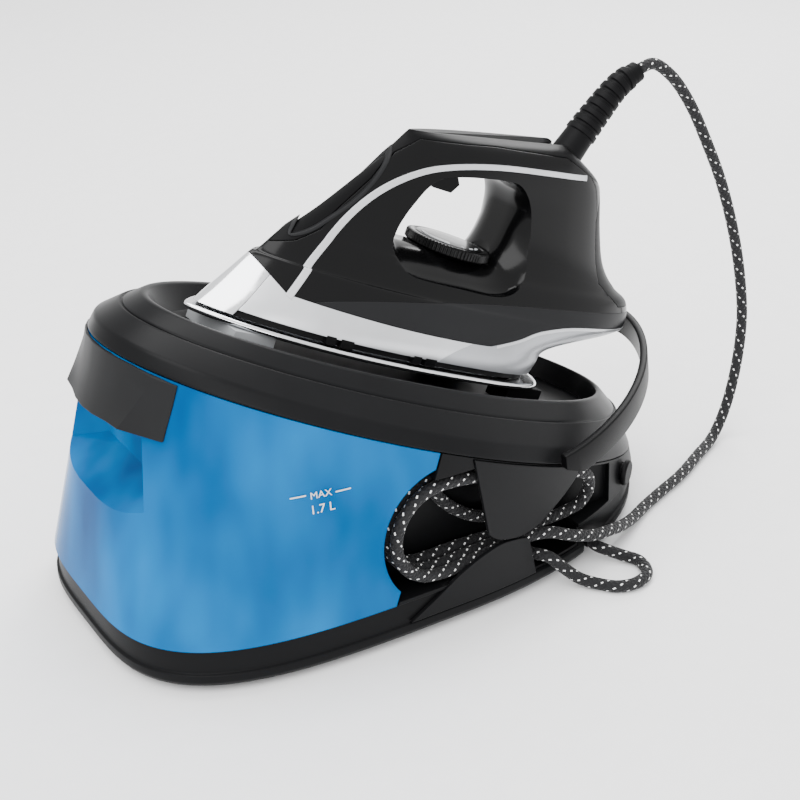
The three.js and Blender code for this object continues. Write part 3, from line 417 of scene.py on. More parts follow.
def cut(body, *tools):
    for tool in tools:
        combine(body, tool)
    return body


def common(body, tool):
    return combine(body, tool, "INTERSECT")


def largest(body):
    """Only the biggest connected part stays: slivers go."""
    edit = bmesh.new()
    edit.from_mesh(body.data)
    left = set(edit.verts)
    best = set()
    while left:
        island, front = set(), [next(iter(left))]
        while front:
            v = front.pop()
            if v in island:
                continue
            island.add(v)
            front += [e.other_vert(v) for e in v.link_edges]
        left -= island
        if len(island) > len(best):
            best = island
    bmesh.ops.delete(edit, geom=[v for v in edit.verts if v not in best], context="VERTS")
    edit.to_mesh(body.data)
    edit.free()
    return body


def smooth(points, per=8, closed=False):
    """A Catmull-Rom curve through points, with this many steps between neighbours."""
    points = np.asarray(points, float)
    count = len(points)
    pick = (lambda i: points[i % count]) if closed else (lambda i: points[min(max(i, 0), count - 1)])
    out = []
    for i in range(count if closed else count - 1):
        a, b, c, d = (pick(i + k) for k in (-1, 0, 1, 2))
        for t in np.arange(per) / per:
            out.append(0.5 * (2 * b + (c - a) * t + (2 * a - 5 * b + 4 * c - d) * t ** 2
                              + (3 * b - 3 * c + d - a) * t ** 3))
    if not closed:
        out.append(points[-1])
    return np.array(out)


def rounded(points, reach, steps=5, closed=True):
    """Corners of a polyline turned into arcs that start this far from each corner."""
    points = np.asarray(points, float)
    count = len(points)
    out = []
    for i in range(count):
        if not closed and i in (0, count - 1):
            out.append(points[i])
            continue
        before, here, after = points[i - 1], points[i], points[(i + 1) % count]
        ends = []
        for other in (before, after):
            length = np.linalg.norm(other - here)
            ends.append(here + (other - here) / length * min(reach, 0.45 * length))
        for t in np.linspace(0, 1, steps):
            out.append((1 - t) ** 2 * ends[0] + 2 * t * (1 - t) * here + t ** 2 * ends[1])
    return np.array(out)


def finish_mesh(obj, name, look, body, stands_for=(), iron=False, crease=32):
    """Puts a body made in millimetres in its place, shades it and hands it to the frame.

    Its material is the finish its look names.
    """
    mesh = obj.data
    points = np.empty(len(mesh.vertices) * 3)
    mesh.vertices.foreach_get("co", points)
    points = points.reshape(-1, 3)
    if iron:
        points = points @ np.array(Matrix.Rotation(TILT, 3, "Y")).T + IRON_PLACE
    points = (points - (CENTRE_X, 0, 0)) * MM
    mesh.vertices.foreach_set("co", points.ravel())
    edit = bmesh.new()
    edit.from_mesh(mesh)
    bmesh.ops.remove_doubles(edit, verts=edit.verts, dist=2e-6)
    limit = math.radians(crease)
    for face in edit.faces:
        face.smooth = True
    for edge in edit.edges:
        edge.smooth = len(edge.link_faces) == 2 and edge.calc_face_angle(0) < limit
    edit.to_mesh(mesh)
    edit.free()
    obj.name = name
    mesh.name = name
    mesh.materials.clear()
    mesh.materials.append(LOOKS[look])
    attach(obj, body)
    if stands_for:
        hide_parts(*stands_for)
    return obj


# ---------- Outlines ----------
def egg(count, half_length, half_width, front_power, rear_power):
    angle = np.linspace(0, 2 * math.pi, count, endpoint=False)
    c, s = np.cos(angle), np.sin(angle)
    power = np.where(c < 0, front_power, rear_power)
    return half_length * np.sign(c) * abs(c) ** (2 / power), half_width * np.sign(s) * abs(s) ** (2 / power)


def pan_ring(inset, z):
    x, y = egg(SIDES, BASE_LENGTH / 2 - inset, BASE_WIDTH / 2 - inset,
               PAN_FRONT_POWER, PAN_REAR_POWER)
    return np.stack([x, y, np.full_like(x, z)], 1)


def slope_ring(inset, rise, shift=0):
    x, y = egg(SIDES, COVER_LENGTH / 2 - inset + shift, BASE_WIDTH / 2 - inset,
               COVER_POWER, COVER_POWER)
    x = x + COVER_OFFSET + shift
    return np.stack([x, y, EDGE_HEIGHT + rise - SLOPE * x], 1)


def wedge(inset, lower=0, upper=0, levels=14):
    bottom = pan_ring(inset, PAN_TOP + GAP - lower)
    top = slope_ring(inset, upper - GAP)
    return loft([bottom + (top - bottom) * t for t in np.linspace(0, 1, levels)])


def behind_tank(offset):
    def at(z):
        return TANK_END_X + offset + (z - TANK_END_Z) * TANK_END_LEAN
    return prism([(at(-20), -20), (400, -20), (400, 260), (at(260), 260)], -200, 200)


def wall_y(x, z):
    """The near wall's y at one x and height, on the wedge under the cover."""
    bottom, top = pan_ring(0, PAN_TOP + GAP), slope_ring(0, -GAP)
    near = bottom[:, 1] < 0
    share = (z - bottom[near, 2]) / (top[near, 2] - bottom[near, 2])
    at = bottom[near] + (top[near] - bottom[near]) * share[:, None]
    order = np.argsort(at[:, 0])
    return float(np.interp(x, at[order, 0], at[order, 1]))


# ---------- Cord ----------
def turn(centre_x, centre_z, radius, from_degrees, to_degrees, from_y, to_y, steps):
    out = []
    for t in np.linspace(0, 1, steps + 1):
        angle = math.radians(from_degrees + (to_degrees - from_degrees) * t)
        out.append((centre_x + radius * math.cos(angle), from_y + (to_y - from_y) * t,
                    centre_z + radius * math.sin(angle)))
    return out


def cord_route():
    mid = FRONT_LAYER + LAYER
    back = FRONT_LAYER + 2 * LAYER
    return [
        (190, 0, 259.2), (201, 0, 261), (215, -1, 252), (231, -2, 233), (247, -4, 205), (261, -5, 178),
        (273, -8, 144), (281, -11, 110), (285, -13, 78), (281, -16, 45), (271, -20, 19), (255, -27, 5.5),
        (232, -38, 3.8), (204, -52, 3.8), (180, -61, 3.8), (160, -69, 4), (143, -78, 6), (128, -86, 10),
        (112, -93, 15.5), (94, -98.5, 21), (77, -100, 27.5), (62, -98, 33.5), (46, -95.5, 34.5),
        (16, -97.5, 34),
        *turn(COIL_X, COIL_Z, COIL_RADIUS, 270, 90, FRONT_LAYER, FRONT_LAYER, 7),
        (16, -97.5, 85), (46, -93.5, 74), (68, -90.5, 65.5),
        *turn(84, 47.7, 14, 78, -90, -89.5, -84.5, 4),
        (60, -86, 33.8), (40, -89, 34), (10, mid, 34),
        *turn(COIL_X, COIL_Z, COIL_RADIUS, 270, 90, mid, mid, 7),
        (8, mid, 88), (28, mid, 80),
        *turn(34, 62.5, 15, 70, -90, mid + 0.5, back, 5),
        (20, back, 51), (6, back, 60), (-5, back, 71),
        *turn(COIL_X - 4, COIL_Z - 3, 23, 75, 270, back, back, 7),
        (2, back, 35.5), (18, back, 35), (31, -83.6, 33.5), (43, -86, 25.5), (52, -92.5, 20.5),
        (60, -100.5, 19),
        (67, -106.5, 12), (74, -112.5, 6), (82, -120.5, 3.8), (90, -128.5, 3.8), (102, -131, 3.8),
        (113, -126, 3.8), (117, -114, 3.8), (112, -106, 4.6), (105, -99, 7.2), (GLAND_X + 0.8, -94.5, 9),
        (GLAND_X, GLAND_Y, GLAND_Z),
    ]


def centripetal(points, step):
    """An even walk along the centripetal Catmull-Rom curve through points, and the curve's length."""
    points = np.asarray(points, float)
    ends = [2 * points[0] - points[1], *points, 2 * points[-1] - points[-2]]
    fine = []
    for i in range(len(points) - 1):
        a, b, c, d = ends[i:i + 4]
        gaps = [max(np.linalg.norm(q - p) ** 0.5, 1e-6) for p, q in ((a, b), (b, c), (c, d))]
        rise = ((b - a) / gaps[0] - (c - a) / (gaps[0] + gaps[1]) + (c - b) / gaps[1]) * gaps[1]
        fall = ((c - b) / gaps[1] - (d - b) / (gaps[1] + gaps[2]) + (d - c) / gaps[2]) * gaps[1]
        for t in np.linspace(0, 1, 16, endpoint=False):
            fine.append(b + rise * t + (-3 * b + 3 * c - 2 * rise - fall) * t ** 2
                        + (2 * b - 2 * c + rise + fall) * t ** 3)
    fine.append(points[-1])
    fine = np.array(fine)
    walked = np.concatenate([[0], np.cumsum(np.linalg.norm(np.diff(fine, axis=0), axis=1))])
    even = np.linspace(0, walked[-1], round(walked[-1] / step) + 1)
    return np.stack([np.interp(even, walked, fine[:, k]) for k in range(3)], 1), walked[-1]


def cord_tube(path, radius, sides=20):
    """A tube on a path with no twist, with UVs: metres along, and once round."""
    forward = np.gradient(path, axis=0)
    forward /= np.linalg.norm(forward, axis=1)[:, None]
    side = np.array([0.0, 1.0, 0.0])
    rings = []
    for at, ahead in zip(path, forward):
        side = side - ahead * (side @ ahead)
        side /= np.linalg.norm(side)
        other = np.cross(ahead, side)
        angle = 2 * math.pi * np.arange(sides) / sides
        rings.append(at + radius * (np.outer(np.cos(angle), side) + np.outer(np.sin(angle), other)))
    tube = loft(rings)
    layer = tube.data.uv_layers.new(name="along")
    step = np.linalg.norm(path[1] - path[0]) * MM
    for polygon in tube.data.polygons:
        numbers = [tube.data.loops[k].vertex_index for k in polygon.loop_indices]
        across = [v % sides for v in numbers]
        wrap = max(across) - min(across) > sides / 2
        for k, v, a in zip(polygon.loop_indices, numbers, across):
            layer.data[k].uv = (v // sides * step, (a + sides if wrap and a == 0 else a) / sides)
    return tube


def make_cord():
    path, length = centripetal(cord_route(), CORD_STEP)
    cord = cord_tube(path, CORD_DIAMETER / 2)
    mesh = cord.data
    mesh.transform(Matrix.Scale(MM, 4) @ Matrix.Translation((-CENTRE_X, 0, 0)))
    cord.name = mesh.name = "steam_cord_braid"
    mesh.materials.append(LOOKS["textile"])
    mesh.shade_smooth()
    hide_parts("steam_cord")
    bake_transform(cord)


make_cord()


# ---------- Bottom pan ----------
def make_pan():
    low = 3
    profile = rounded([(5, low), (1.2, low + 1.4), (0, low + 4), (0, STRIP_TOP - 0.6), (PAN_STEP, STRIP_TOP),
                       (PAN_STEP, PAN_TOP), (PAN_STEP + WALL, PAN_TOP), (PAN_STEP + WALL, low + WALL)], 0.5,
                      4, False)
    body = loft([pan_ring(inset, z) for inset, z in profile])
    half = GLAND_RADIUS + 1
    notch = prism([(GLAND_X - half, -5), (GLAND_X + half, -5), (GLAND_X + half, GLAND_Z + 3),
                   (GLAND_X + half - 3, GLAND_Z + half), (GLAND_X - half + 3, GLAND_Z + half),
                   (GLAND_X - half, GLAND_Z + 3)], -120, -62)
    channel = block(CHANNEL_FROM - GAP, CHANNEL_TO + GAP, -140, -60, CHANNEL_BOTTOM - GAP, 60)
    finish_mesh(cut(body, notch, channel), "pan_shell", "darkPlastic", "base", ["bottom_pan"])


# ---------- Rear housing and clasps ----------
def pocket_outline(grow):
    def top(x):
        return EDGE_HEIGHT - SLOPE * x - 4 + grow
    left, floor = COIL_X - COIL_RADIUS - 40, POCKET_FLOOR - grow
    return [(left, floor), (CHANNEL_FROM + 2 - grow, floor), (CHANNEL_FROM + 2 - grow, 0),
            (CHANNEL_TO - 2 + grow, 0),
            (CHANNEL_TO - 2 + grow, floor), (POCKET_REAR + grow, floor),
            (POCKET_REAR + grow, top(POCKET_REAR) + 2.5),
            (60, top(60) + 2.5), (10, top(10)), (left, top(10))]


def upper_outline(grow):
    def edge(x):
        return EDGE_HEIGHT - SLOPE * x - 1.2 + grow
    low = smooth([(14 - grow, 52 - grow), (20, 47 - grow), (29, 44 - grow), (39, 43 - grow),
                  (52 + grow, 46 - grow),
                  (72 + grow, 57 - grow), (82 + 2 * grow, 64)], 4)
    return [(3 - grow, edge(3)), *low, (82 + 2 * grow, edge(82))]


def lower_outline(grow):
    high = smooth([(50 + grow, STRIP_TOP + 1), (44 + grow, 36), (40, 40 + grow), (31, 42 + grow),
                   (22, 42.5 + grow),
                   (9, 39 + grow), (-4, 33 + grow), (-17, 24.5 + grow), (-36 - grow, STRIP_TOP + 1)], 4)
    return list(high)


def clasp_seat(outline):
    seat = cut(wedge(-5, 20, 20), wedge(CLASP_INSET + GAP, 30, 30))
    return common(seat, prism(outline, -140, -60))


def round_bar(radius, length, place, heading, sides=40):
    """A round bar from a place along a heading."""
    turned = Vector(heading).to_track_quat("Z", "Y").to_matrix()
    rings = []
    for along in (0, length):
        angle = 2 * math.pi * np.arange(sides) / sides
        flat = np.stack([radius * np.cos(angle), radius * np.sin(angle), np.full(sides, along)], 1)
        rings.append(flat @ np.array(turned).T + np.array(place))
    return loft(rings)


CAP_OUT = (math.sin(CAP_ANGLE), -math.cos(CAP_ANGLE), 0)
CAP_PLACE = np.array([138, -71.4, 36.5])


def make_housing():
    face = -BASE_WIDTH / 2 + POCKET_DEPTH
    outer = common(wedge(0), behind_tank(1.2))
    inside = cut(common(wedge(WALL, 5, 5), behind_tank(1.2 + WALL)),
                 prism(pocket_outline(WALL), -140, face + WALL))
    body = cut(outer, inside, clasp_seat(upper_outline(0.5)), clasp_seat(lower_outline(0.5)),
               prism(pocket_outline(0), -140, face), block(-14, 42, 80, 130, 52, 72),
               round_bar(9, 40, (-50, -20, 45), (1, 0, 0)),
               round_bar(6, 40, CAP_PLACE - 20 * np.array(CAP_OUT), CAP_OUT))
    finish_mesh(largest(body), "housing_shell", "darkPlastic", "base", ["rear_housing"])


def make_clasps():
    layer = cut(wedge(CLASP_INSET - CLASP_THICKNESS, 20, 0), wedge(CLASP_INSET, 30, 10))
    upper = largest(common(layer, prism(upper_outline(0), -140, -60)))
    finish_mesh(upper, "upper_clasp_fin", "coverPlastic", "base", ["upper_clasp"])
    inner = PAN_STEP - GAP
    fin = cut(loft([pan_ring(inner - CLASP_THICKNESS, z) for z in (STRIP_TOP, 60)]),
              loft([pan_ring(inner, z) for z in (-5, 80)]))
    lower = largest(common(fin, prism(lower_outline(0), -140, -60)))
    finish_mesh(lower, "lower_clasp_fin", "coverPlastic", "base", ["lower_clasp"])


# ---------- Cover ----------
def make_cover():
    profile = rounded([
        (RIM_INSET + RIM_WIDTH + TRAY_DRAFT, TRAY_RISE, 6), (RIM_INSET + RIM_WIDTH, RIM_RISE, 6),
        (RIM_INSET, RIM_RISE, 6), (GROOVE_INSET + 1.7, GROOVE_RISE + 0.2, 5),
        (GROOVE_INSET + 1.4, GROOVE_RISE - 1, 5),
        (GROOVE_INSET + 0.5, GROOVE_RISE - 1.2, 5), (GROOVE_INSET, GROOVE_RISE, 5), (4, 9, 0), (0, 0.6, 0),
        (0.6, 0, 0), (WALL, 0, 0), (WALL + 4, 8, 0), (GROOVE_INSET + WALL + 2, GROOVE_RISE - WALL, 5),
        (RIM_INSET + 1, RIM_RISE - WALL, 6), (RIM_INSET + RIM_WIDTH + TRAY_DRAFT - WALL - 0.4,
                                              TRAY_RISE - WALL, 6),
    ], 1.6, 6, False)
    body = loft([slope_ring(*p) for p in profile])
    finish_mesh(body, "cover_shell", "coverPlastic", "base", ["cover", "tray_dish"], crease=50)


# ---------- Tank ----------
def scoop(grow):
    def ring(x):
        out = SCOOP_BACK - x
        half = SCOOP_WIDTH / 2 + grow + 1.5 * out
        floor = SCOOP_FLOOR - grow - 0.6 * out
        corners = [(-half, floor), (half, floor), (half, BEAK_BOTTOM + grow), (-half, BEAK_BOTTOM + grow)]
        return [(x, y, z) for y, z in corners]
    return loft([ring(SCOOP_BACK + grow), ring(FRONT - 20)])


def tank_volume(inset):
    radius = COIL_RADIUS + CORD_DIAMETER + 7 + inset
    recess = round_bar(radius, 60, (COIL_X + 4, -BASE_WIDTH / 2 + POCKET_DEPTH - 1 + inset, COIL_Z),
                       (0, -1, 0), 120)
    return cut(wedge(GAP + inset, -inset, -inset - GAP), behind_tank(-inset), scoop(inset), recess)


def make_tank():
    mouth_x = FRONT + 56
    shell = cut(tank_volume(0), largest(tank_volume(TANK_WALL)),
                block(mouth_x, mouth_x + 46, -30, 30, 100, 220))
    finish_mesh(largest(shell), "tank_clear_shell", "tankBlue", "tank", ["tank_shell"], crease=30)


def front_wall(y, z):
    """How far forward the wall under the cover reaches at one y and height."""
    def reach(half_length, power):
        return half_length * (1 - abs(2 * y / BASE_WIDTH) ** power) ** (1 / power)
    pan_x = -reach(BASE_LENGTH / 2, PAN_FRONT_POWER)
    edge_x = COVER_OFFSET - reach(COVER_LENGTH / 2, COVER_POWER)
    t = (z - PAN_TOP) / (EDGE_HEIGHT - SLOPE * edge_x - PAN_TOP)
    return pan_x + (edge_x - pan_x) * t


def make_beak():
    half = BEAK_WIDTH / 2
    share = [-1, -0.66, -0.44, -0.22, 0, 0.22, 0.44, 0.66, 1]
    top_share = [-1, -0.84, -0.56, -0.28, 0, 0.28, 0.56, 0.84, 1]
    lift_levels = [(0, 1.0), (0.12, 0.78), (0.24, 0.58), (0.36, 0.42), (0.5, 0.27), (0.64, 0.15),
                   (0.8, 0.06), (1, 0)]

    def point(i, lift, reach, deep=0):
        y = half * (share[i] + (top_share[i] - share[i]) * lift)
        end = i in (0, 8)
        low = BEAK_BOTTOM - (4.5 if end else 0)
        z = low + (EDGE_HEIGHT - SLOPE * front_wall(y, 160) - 5 * GAP - low) * lift
        corner = i in (1, 7)
        proud = 0.3 if end else 1.1 if corner else 0.8
        stand_off = 1.5 + (1.4 if corner and not deep else 0)
        return (front_wall(y, z) - stand_off - reach * BEAK_REACH * proud + deep, y, z)
    sections = []
    for i in range(9):
        outer = [point(i, lift, reach) for lift, reach in lift_levels]
        sections.append([*outer, point(i, 1, 0, 16), point(i, 0, 0, 16)])
    body = cut(loft(sections), wedge(0), wedge(4, 0, 20))
    finish_mesh(largest(body), "beak", "beak", "tank", ["tank_handle"], crease=19)


def make_mark():
    """The fill mark moulded on the near wall: two short lines, a word and a volume."""
    def on_wall(obj, name, x0, z0):
        for v in obj.data.vertices:
            x, z, depth = x0 + v.co.x, z0 + v.co.y + 0.06 * v.co.x, v.co.z
            v.co = (x, wall_y(x, z) - 0.35 - depth, z)
        finish_mesh(obj, name, "mark", "tank")

    def text(words, size, x0, z0, name):
        curve = bpy.data.curves.new(name, "FONT")
        curve.body = words
        curve.size = size
        curve.extrude = 0.08
        curve.align_x = "CENTER"
        holder = bpy.data.objects.new(name, curve)
        bpy.context.collection.objects.link(holder)
        mesh = bpy.data.meshes.new_from_object(holder.evaluated_get(bpy.context.evaluated_depsgraph_get()))
        bpy.data.objects.remove(holder)
        letters = bpy.data.objects.new(name, mesh)
        bpy.context.collection.objects.link(letters)
        on_wall(letters, name, x0, z0)

    def dash(x0, z0, length, name):
        steps = np.linspace(0, length, 6)
        ring = [[(x, -0.35, -0.08), (x, 0.35, -0.08), (x, 0.35, 0.08), (x, -0.35, 0.08)] for x in steps]
        on_wall(loft(ring), name, x0, z0)

    text("MAX", 5.2, -83.5, 101.6, "mark_word")
    text("1.7 L", 6.6, -83.5, 93.6, "mark_volume")
    dash(-99, 103.2, 8, "mark_dash_left")
    dash(-76, 103.2, 8, "mark_dash_right")


# ---------- Iron ----------
def teardrop(nose, widest, heel, half_width, z, tilt=0.0, rear_power=3.0, count=IRON_SIDES):
    angle = np.linspace(0, 2 * math.pi, count, endpoint=False)
    c, s = np.cos(angle), np.sin(angle)
    front = c < 0
    along = abs(c) ** np.where(front, 2 / 2.5, 2 / rear_power)
    across = abs(s) ** np.where(front, 2 / 1.35, 2 / rear_power)
    x = np.where(front, nose - widest, heel - widest) * along
    drop = DROP_RATE * max(0, tilt - LEVEL_TILT) * np.maximum(0, x - HANDLE_DROP_FROM)
    return np.stack([widest + x, half_width * np.sign(s) * across, z + tilt * x - drop], 1)


# Height, heel, half width, widest place, slant and squareness of the iron's rings.
HULL = [
    (SOLE_THICKNESS + 0.8, SOLE_LENGTH - 6, SOLE_WIDTH / 2 - 3.5, 165, 0, 3),
    (14, SOLE_LENGTH - 4, SOLE_WIDTH / 2 - 2.5, 167, 0, 3),
    (24, SOLE_LENGTH + 4, SOLE_WIDTH / 2 - 5, 175, 0, 3),
    (37, HEEL_REACH - 14, 44, 190, 0, 2.6),
    (42, HEEL_REACH, 41, 195, 0.02, 2.5),
    (55, HEEL_REACH - 2, 35, 198, 0.02, 2.4),
    (62, HEEL_REACH - 17, 31, 195, 0.03, 2.4),
    (77, HEEL_REACH - 31, 26, 188, 0.06, 2.5),
    (100, HEEL_REACH - 43, 22.5, 180, 0.1, 2.7),
    (IRON_HEIGHT - 8, HEEL_REACH - 51, HANDLE_WIDTH / 2, 172, HANDLE_RISE, 2.8),
    (IRON_HEIGHT - 1, HEEL_REACH - 55, HANDLE_WIDTH / 2 - 4, 172, HANDLE_RISE, 2.8),
    (IRON_HEIGHT + 2, HEEL_REACH - 63, HANDLE_WIDTH / 2 - 12, 172, HANDLE_RISE, 2.8),
]


def hull(inset):
    """The outside of skirt and body together, from the sole to the top of the handle."""
    rings = []
    for z, heel, half, widest, tilt, power in smooth(HULL, 6):
        nose = 3.5 + (z - SOLE_THICKNESS) / NOSE_LEAN
        rings.append(teardrop(nose + inset, widest, heel - inset, max(half - inset, 2), z, tilt, power))
    return loft(rings)


def waist(drop):
    line = smooth([(44, 23), (110, 21.5), (160, 21.6), (172, 23), (188, 28), (204, 34.5), (228, 39.5),
                   (255, 41.5),
                   (320, 43)], 6)
    return prism([(-20, -20), (340, -20), *[(x, z - drop) for x, z in line[::-1]], (20, 42 - drop),
                  (-20, 72 - drop)],
                 -80, 80)


def nose_part(shift):
    return prism([(-30, -20), (18 + shift, -20), (18 + shift, 2), (40 + shift, 36), (20, 90), (-30, 90)],
                 -80, 80)


def opening():
    """The finger opening: its rim spreads outward on both sides, more at the saddle than under the grip."""
    outline = smooth([(104, SADDLE_HEIGHT + 5), (110, SADDLE_HEIGHT), (145, SADDLE_HEIGHT - 0.5),
                      (170, SADDLE_HEIGHT),
                      (178, SADDLE_HEIGHT + 6), (181, 82), (180.5, 97), (175, 106), (163, 108.5), (132, 104),
                      (118, 98), (108.5, 83)], 8, True)
    ahead = np.roll(outline, -1, 0) - np.roll(outline, 1, 0)
    out = np.stack([ahead[:, 1], -ahead[:, 0]], 1)
    out /= np.linalg.norm(out, axis=1)[:, None]
    share = np.where(out[:, 1] > 0.2, 0.3, 1.0)
    share = np.convolve(np.concatenate([share[-6:], share, share[:6]]), np.ones(13) / 13, "valid")
    rings = []
    for y in np.linspace(-50, 50, 51):
        wide = min(8.0 * max(0, (abs(y) - 7) / 18) ** 1.9, 14)
        flat = outline + out * (wide * share)[:, None]
        rings.append([(x, y, z) for x, z in flat])
    return loft(rings)


def grip_part(grow):
    return prism([(20, 58 - grow), (36, 44 - grow), (48 + grow, 49 - grow), (60 + grow, 58 - grow),
                  (84 + grow, 90 - grow), (94 + grow, 107 - grow), (106, 118 - grow), (150, 126 - grow),
                  (200, 131.5 - grow), (236 + grow, 122 - grow), (236 + grow, 190), (0, 190)], -80, 80)


def rear_part(grow):
    return prism([(238 - grow, 190), (242 - grow, 100), (255 - grow, 66 - grow), (275 - grow, 55 - grow),
                  (340, 57 - grow), (340, 190)], -80, 80)


TRIM_LINE = [(44.5, 22), (64, 54), (84, 81), (104, 98.5), (124, 108.5), (153, 115.8), (190, 120.5),
             (221, 123.5)]


def trim_band(grow):
    line = smooth(TRIM_LINE, 6)
    ahead = np.gradient(line, axis=0)
    out = np.stack([-ahead[:, 1], ahead[:, 0]], 1) / np.linalg.norm(ahead, axis=1)[:, None]
    half = 1.55 + grow
    return [*(line + out * half), *(line - out * half)[::-1]]


def relief_hole():
    lean = (math.sin(RELIEF_LEAN), 0, math.cos(RELIEF_LEAN))
    start = np.array([RELIEF_X, 0, RELIEF_Z]) - 14.5 * np.array(lean)
    return round_bar(RELIEF_RADIUS + 0.6, 80, start, lean, 64)


RECESS = [(45.5, 50.5), (54, 54.5), (64, 63), (78, 78), (88, 94), (93, 108), (91, 117), (84, 117.5),
          (75, 103),
          (60, 78), (47.5, 57)]


def recess_outline(grow):
    line = smooth(RECESS, 6, True)
    ahead = np.roll(line, -1, 0) - np.roll(line, 1, 0)
    out = np.stack([ahead[:, 1], -ahead[:, 0]], 1) / np.linalg.norm(ahead, axis=1)[:, None]
    return line + out * grow


def crease_part(shift):
    """What is below the flange's crease."""
    line = smooth([(50, 20), (64.8, 25.4), (90, 31.5), (117.7, 36.5), (155, 42), (192, 46), (240, 49.5),
                   (280, 51.5),
                   (330, 54)], 6)
    return prism([*[(x, z + shift) for x, z in line], (330, -10), (50, -10)], -80, 80)


def make_iron_body():
    seat = round_bar(DIAL_DIAMETER / 2 + 1, 30, (DIAL_X, 0, SADDLE_HEIGHT - 1.5), (0, 0, 1), 96)
    shaft = round_bar(5.5, 30, (DIAL_X, 0, SADDLE_HEIGHT - 20), (0, 0, 1))
    body = cut(hull(0), waist(-GAP), opening(), block(114, 145, -6.5, 6.5, 88, 112), grip_part(GAP),
               rear_part(GAP),
               relief_hole(), seat, shaft)
    groove = cut(prism(trim_band(0.25), -80, 80), hull(0.9))
    body = cut(body, groove)
    pocket = cut(prism(recess_outline(0), -80, 80), hull(2.4))
    body = cut(body, pocket)
    flange = largest(common(copy_of(body), crease_part(0)))
    body = largest(cut(body, crease_part(0.05)))
    finish_mesh(body, "iron_upper", "glossBlack", "iron", ["iron_body"], iron=True)
    finish_mesh(flange, "iron_flange", "flange", "iron", iron=True)


def make_grip():
    grip = cut(hull(0), relief_hole())
    grip = common(grip, grip_part(0))
    pocket = cut(prism(recess_outline(0), -80, 80), hull(2.4))
    grip = largest(cut(grip, pocket))
    finish_mesh(grip, "grip_shell", "blackPlastic", "iron", ["grip_cover"], iron=True)
    for low, high, name in ((-80, 0, "recess_rim_near"), (0, 80, "recess_rim_far")):
        rim = cut(prism(recess_outline(0.2), low, high), prism(recess_outline(-1.0), -90, 90))
        rim = common(rim, hull(-0.5))
        rim = cut(rim, hull(2.2))
        finish_mesh(rim, name, "flange", "iron", iron=True)


def make_rear_cover():
    piece = largest(common(hull(0), rear_part(0)))
    finish_mesh(piece, "rear_cover_shell", "blackPlastic", "iron", ["rear_cover"], iron=True)


def make_trims():
    for low, high, name, node in ((-80, -2, "trim_strip_near", "trim_near"),
                                  (2, 80, "trim_strip_far", "trim_far")):
        strip = common(prism(trim_band(0), low, high), hull(-0.3))
        strip = largest(cut(strip, hull(0.8)))
        finish_mesh(strip, name, "silver", "iron", [node], iron=True)


def make_skirt():
    low = 8.2
    skirt = cut(common(hull(0), waist(0)), nose_part(GAP), block(-30, 400, -80, 80, -20, low))
    hollow = common(hull(3), block(-20, 228, -80, 80, -20, 17))
    skirt = largest(cut(skirt, hollow))
    seam = smooth([(129, -2), (134, 8), (144, 16), (158, 22.6), (166, 23.5)], 6)
    rear = prism([*seam, (172, 60), (340, 60), (340, -2)], -80, 80)
    patch = largest(common(copy_of(skirt), rear))
    front = prism([*(seam + (0.25, 0)), (172.25, 60), (340, 60), (340, -2)], -80, 80)
    skirt = largest(cut(skirt, front))
    finish_mesh(skirt, "skirt_front", "silver", "iron", ["skirt"], iron=True)
    finish_mesh(patch, "skirt_rear", "silverShade", "iron", iron=True)
    # Painted highlight: a thin silver strip laid on the skirt's upper edge, where the rear patch meets the
    # body, stands for the bright line the light draws along that edge.
    line = smooth([(172, 23), (188, 28), (204, 34.5), (228, 39.5), (255, 41.5), (292, 42.5)], 6)
    band = prism([*(line + (0, 0.1)), *(line - (0, 1.7))[::-1]], -80, 80)
    edge = cut(common(band, hull(-0.35)), hull(1))
    finish_mesh(edge, "skirt_edge_painted_highlight", "silver", "iron", iron=True)
    spacer = cut(common(hull(2.6), block(-20, 400, -80, 80, SOLE_THICKNESS + 0.9, low + 0.4)), hull(6))
    finish_mesh(spacer, "heat_spacer", "blackPlastic", "iron", iron=True)


def make_spacer_blocks():
    """Small dark clips between sole and skirt, in pairs along both sides."""
    clips = None
    for x, width in ((66, 5), (74, 5), (79, 2), (118, 5), (126, 5), (131, 2)):
        for near, far in ((-60, -10), (10, 60)):
            piece = block(x, x + width, near, far, SOLE_THICKNESS + 0.6, 9)
            piece = cut(common(piece, hull(-0.6)), hull(3.2))
            clips = piece if clips is None else combine(clips, piece, "UNION")
    finish_mesh(clips, "spacer_clips", "blackPlastic", "iron", iron=True)


def make_nose():
    cap = cut(common(hull(0), waist(0)), block(-30, 400, -80, 80, -20, 5.2))
    cap = largest(common(cap, nose_part(0)))
    finish_mesh(cap, "nose_chrome", "chrome", "iron", ["nose_cap"], iron=True)


def make_sole():
    levels = rounded([(4, 0), (1.6, 0), (0.2, 0.9), (0, 1.8), (0.2, 2.8), (1.4, SOLE_THICKNESS),
                      (4, SOLE_THICKNESS)],
                     0.6, 4, False)
    rings = [teardrop(inset, 165, SOLE_LENGTH - inset, SOLE_WIDTH / 2 - inset, z, 0, 3.4) for inset,
             z in levels]
    finish_mesh(loft(rings), "sole_rim", "chrome", "iron", ["sole_plate"], iron=True, crease=60)


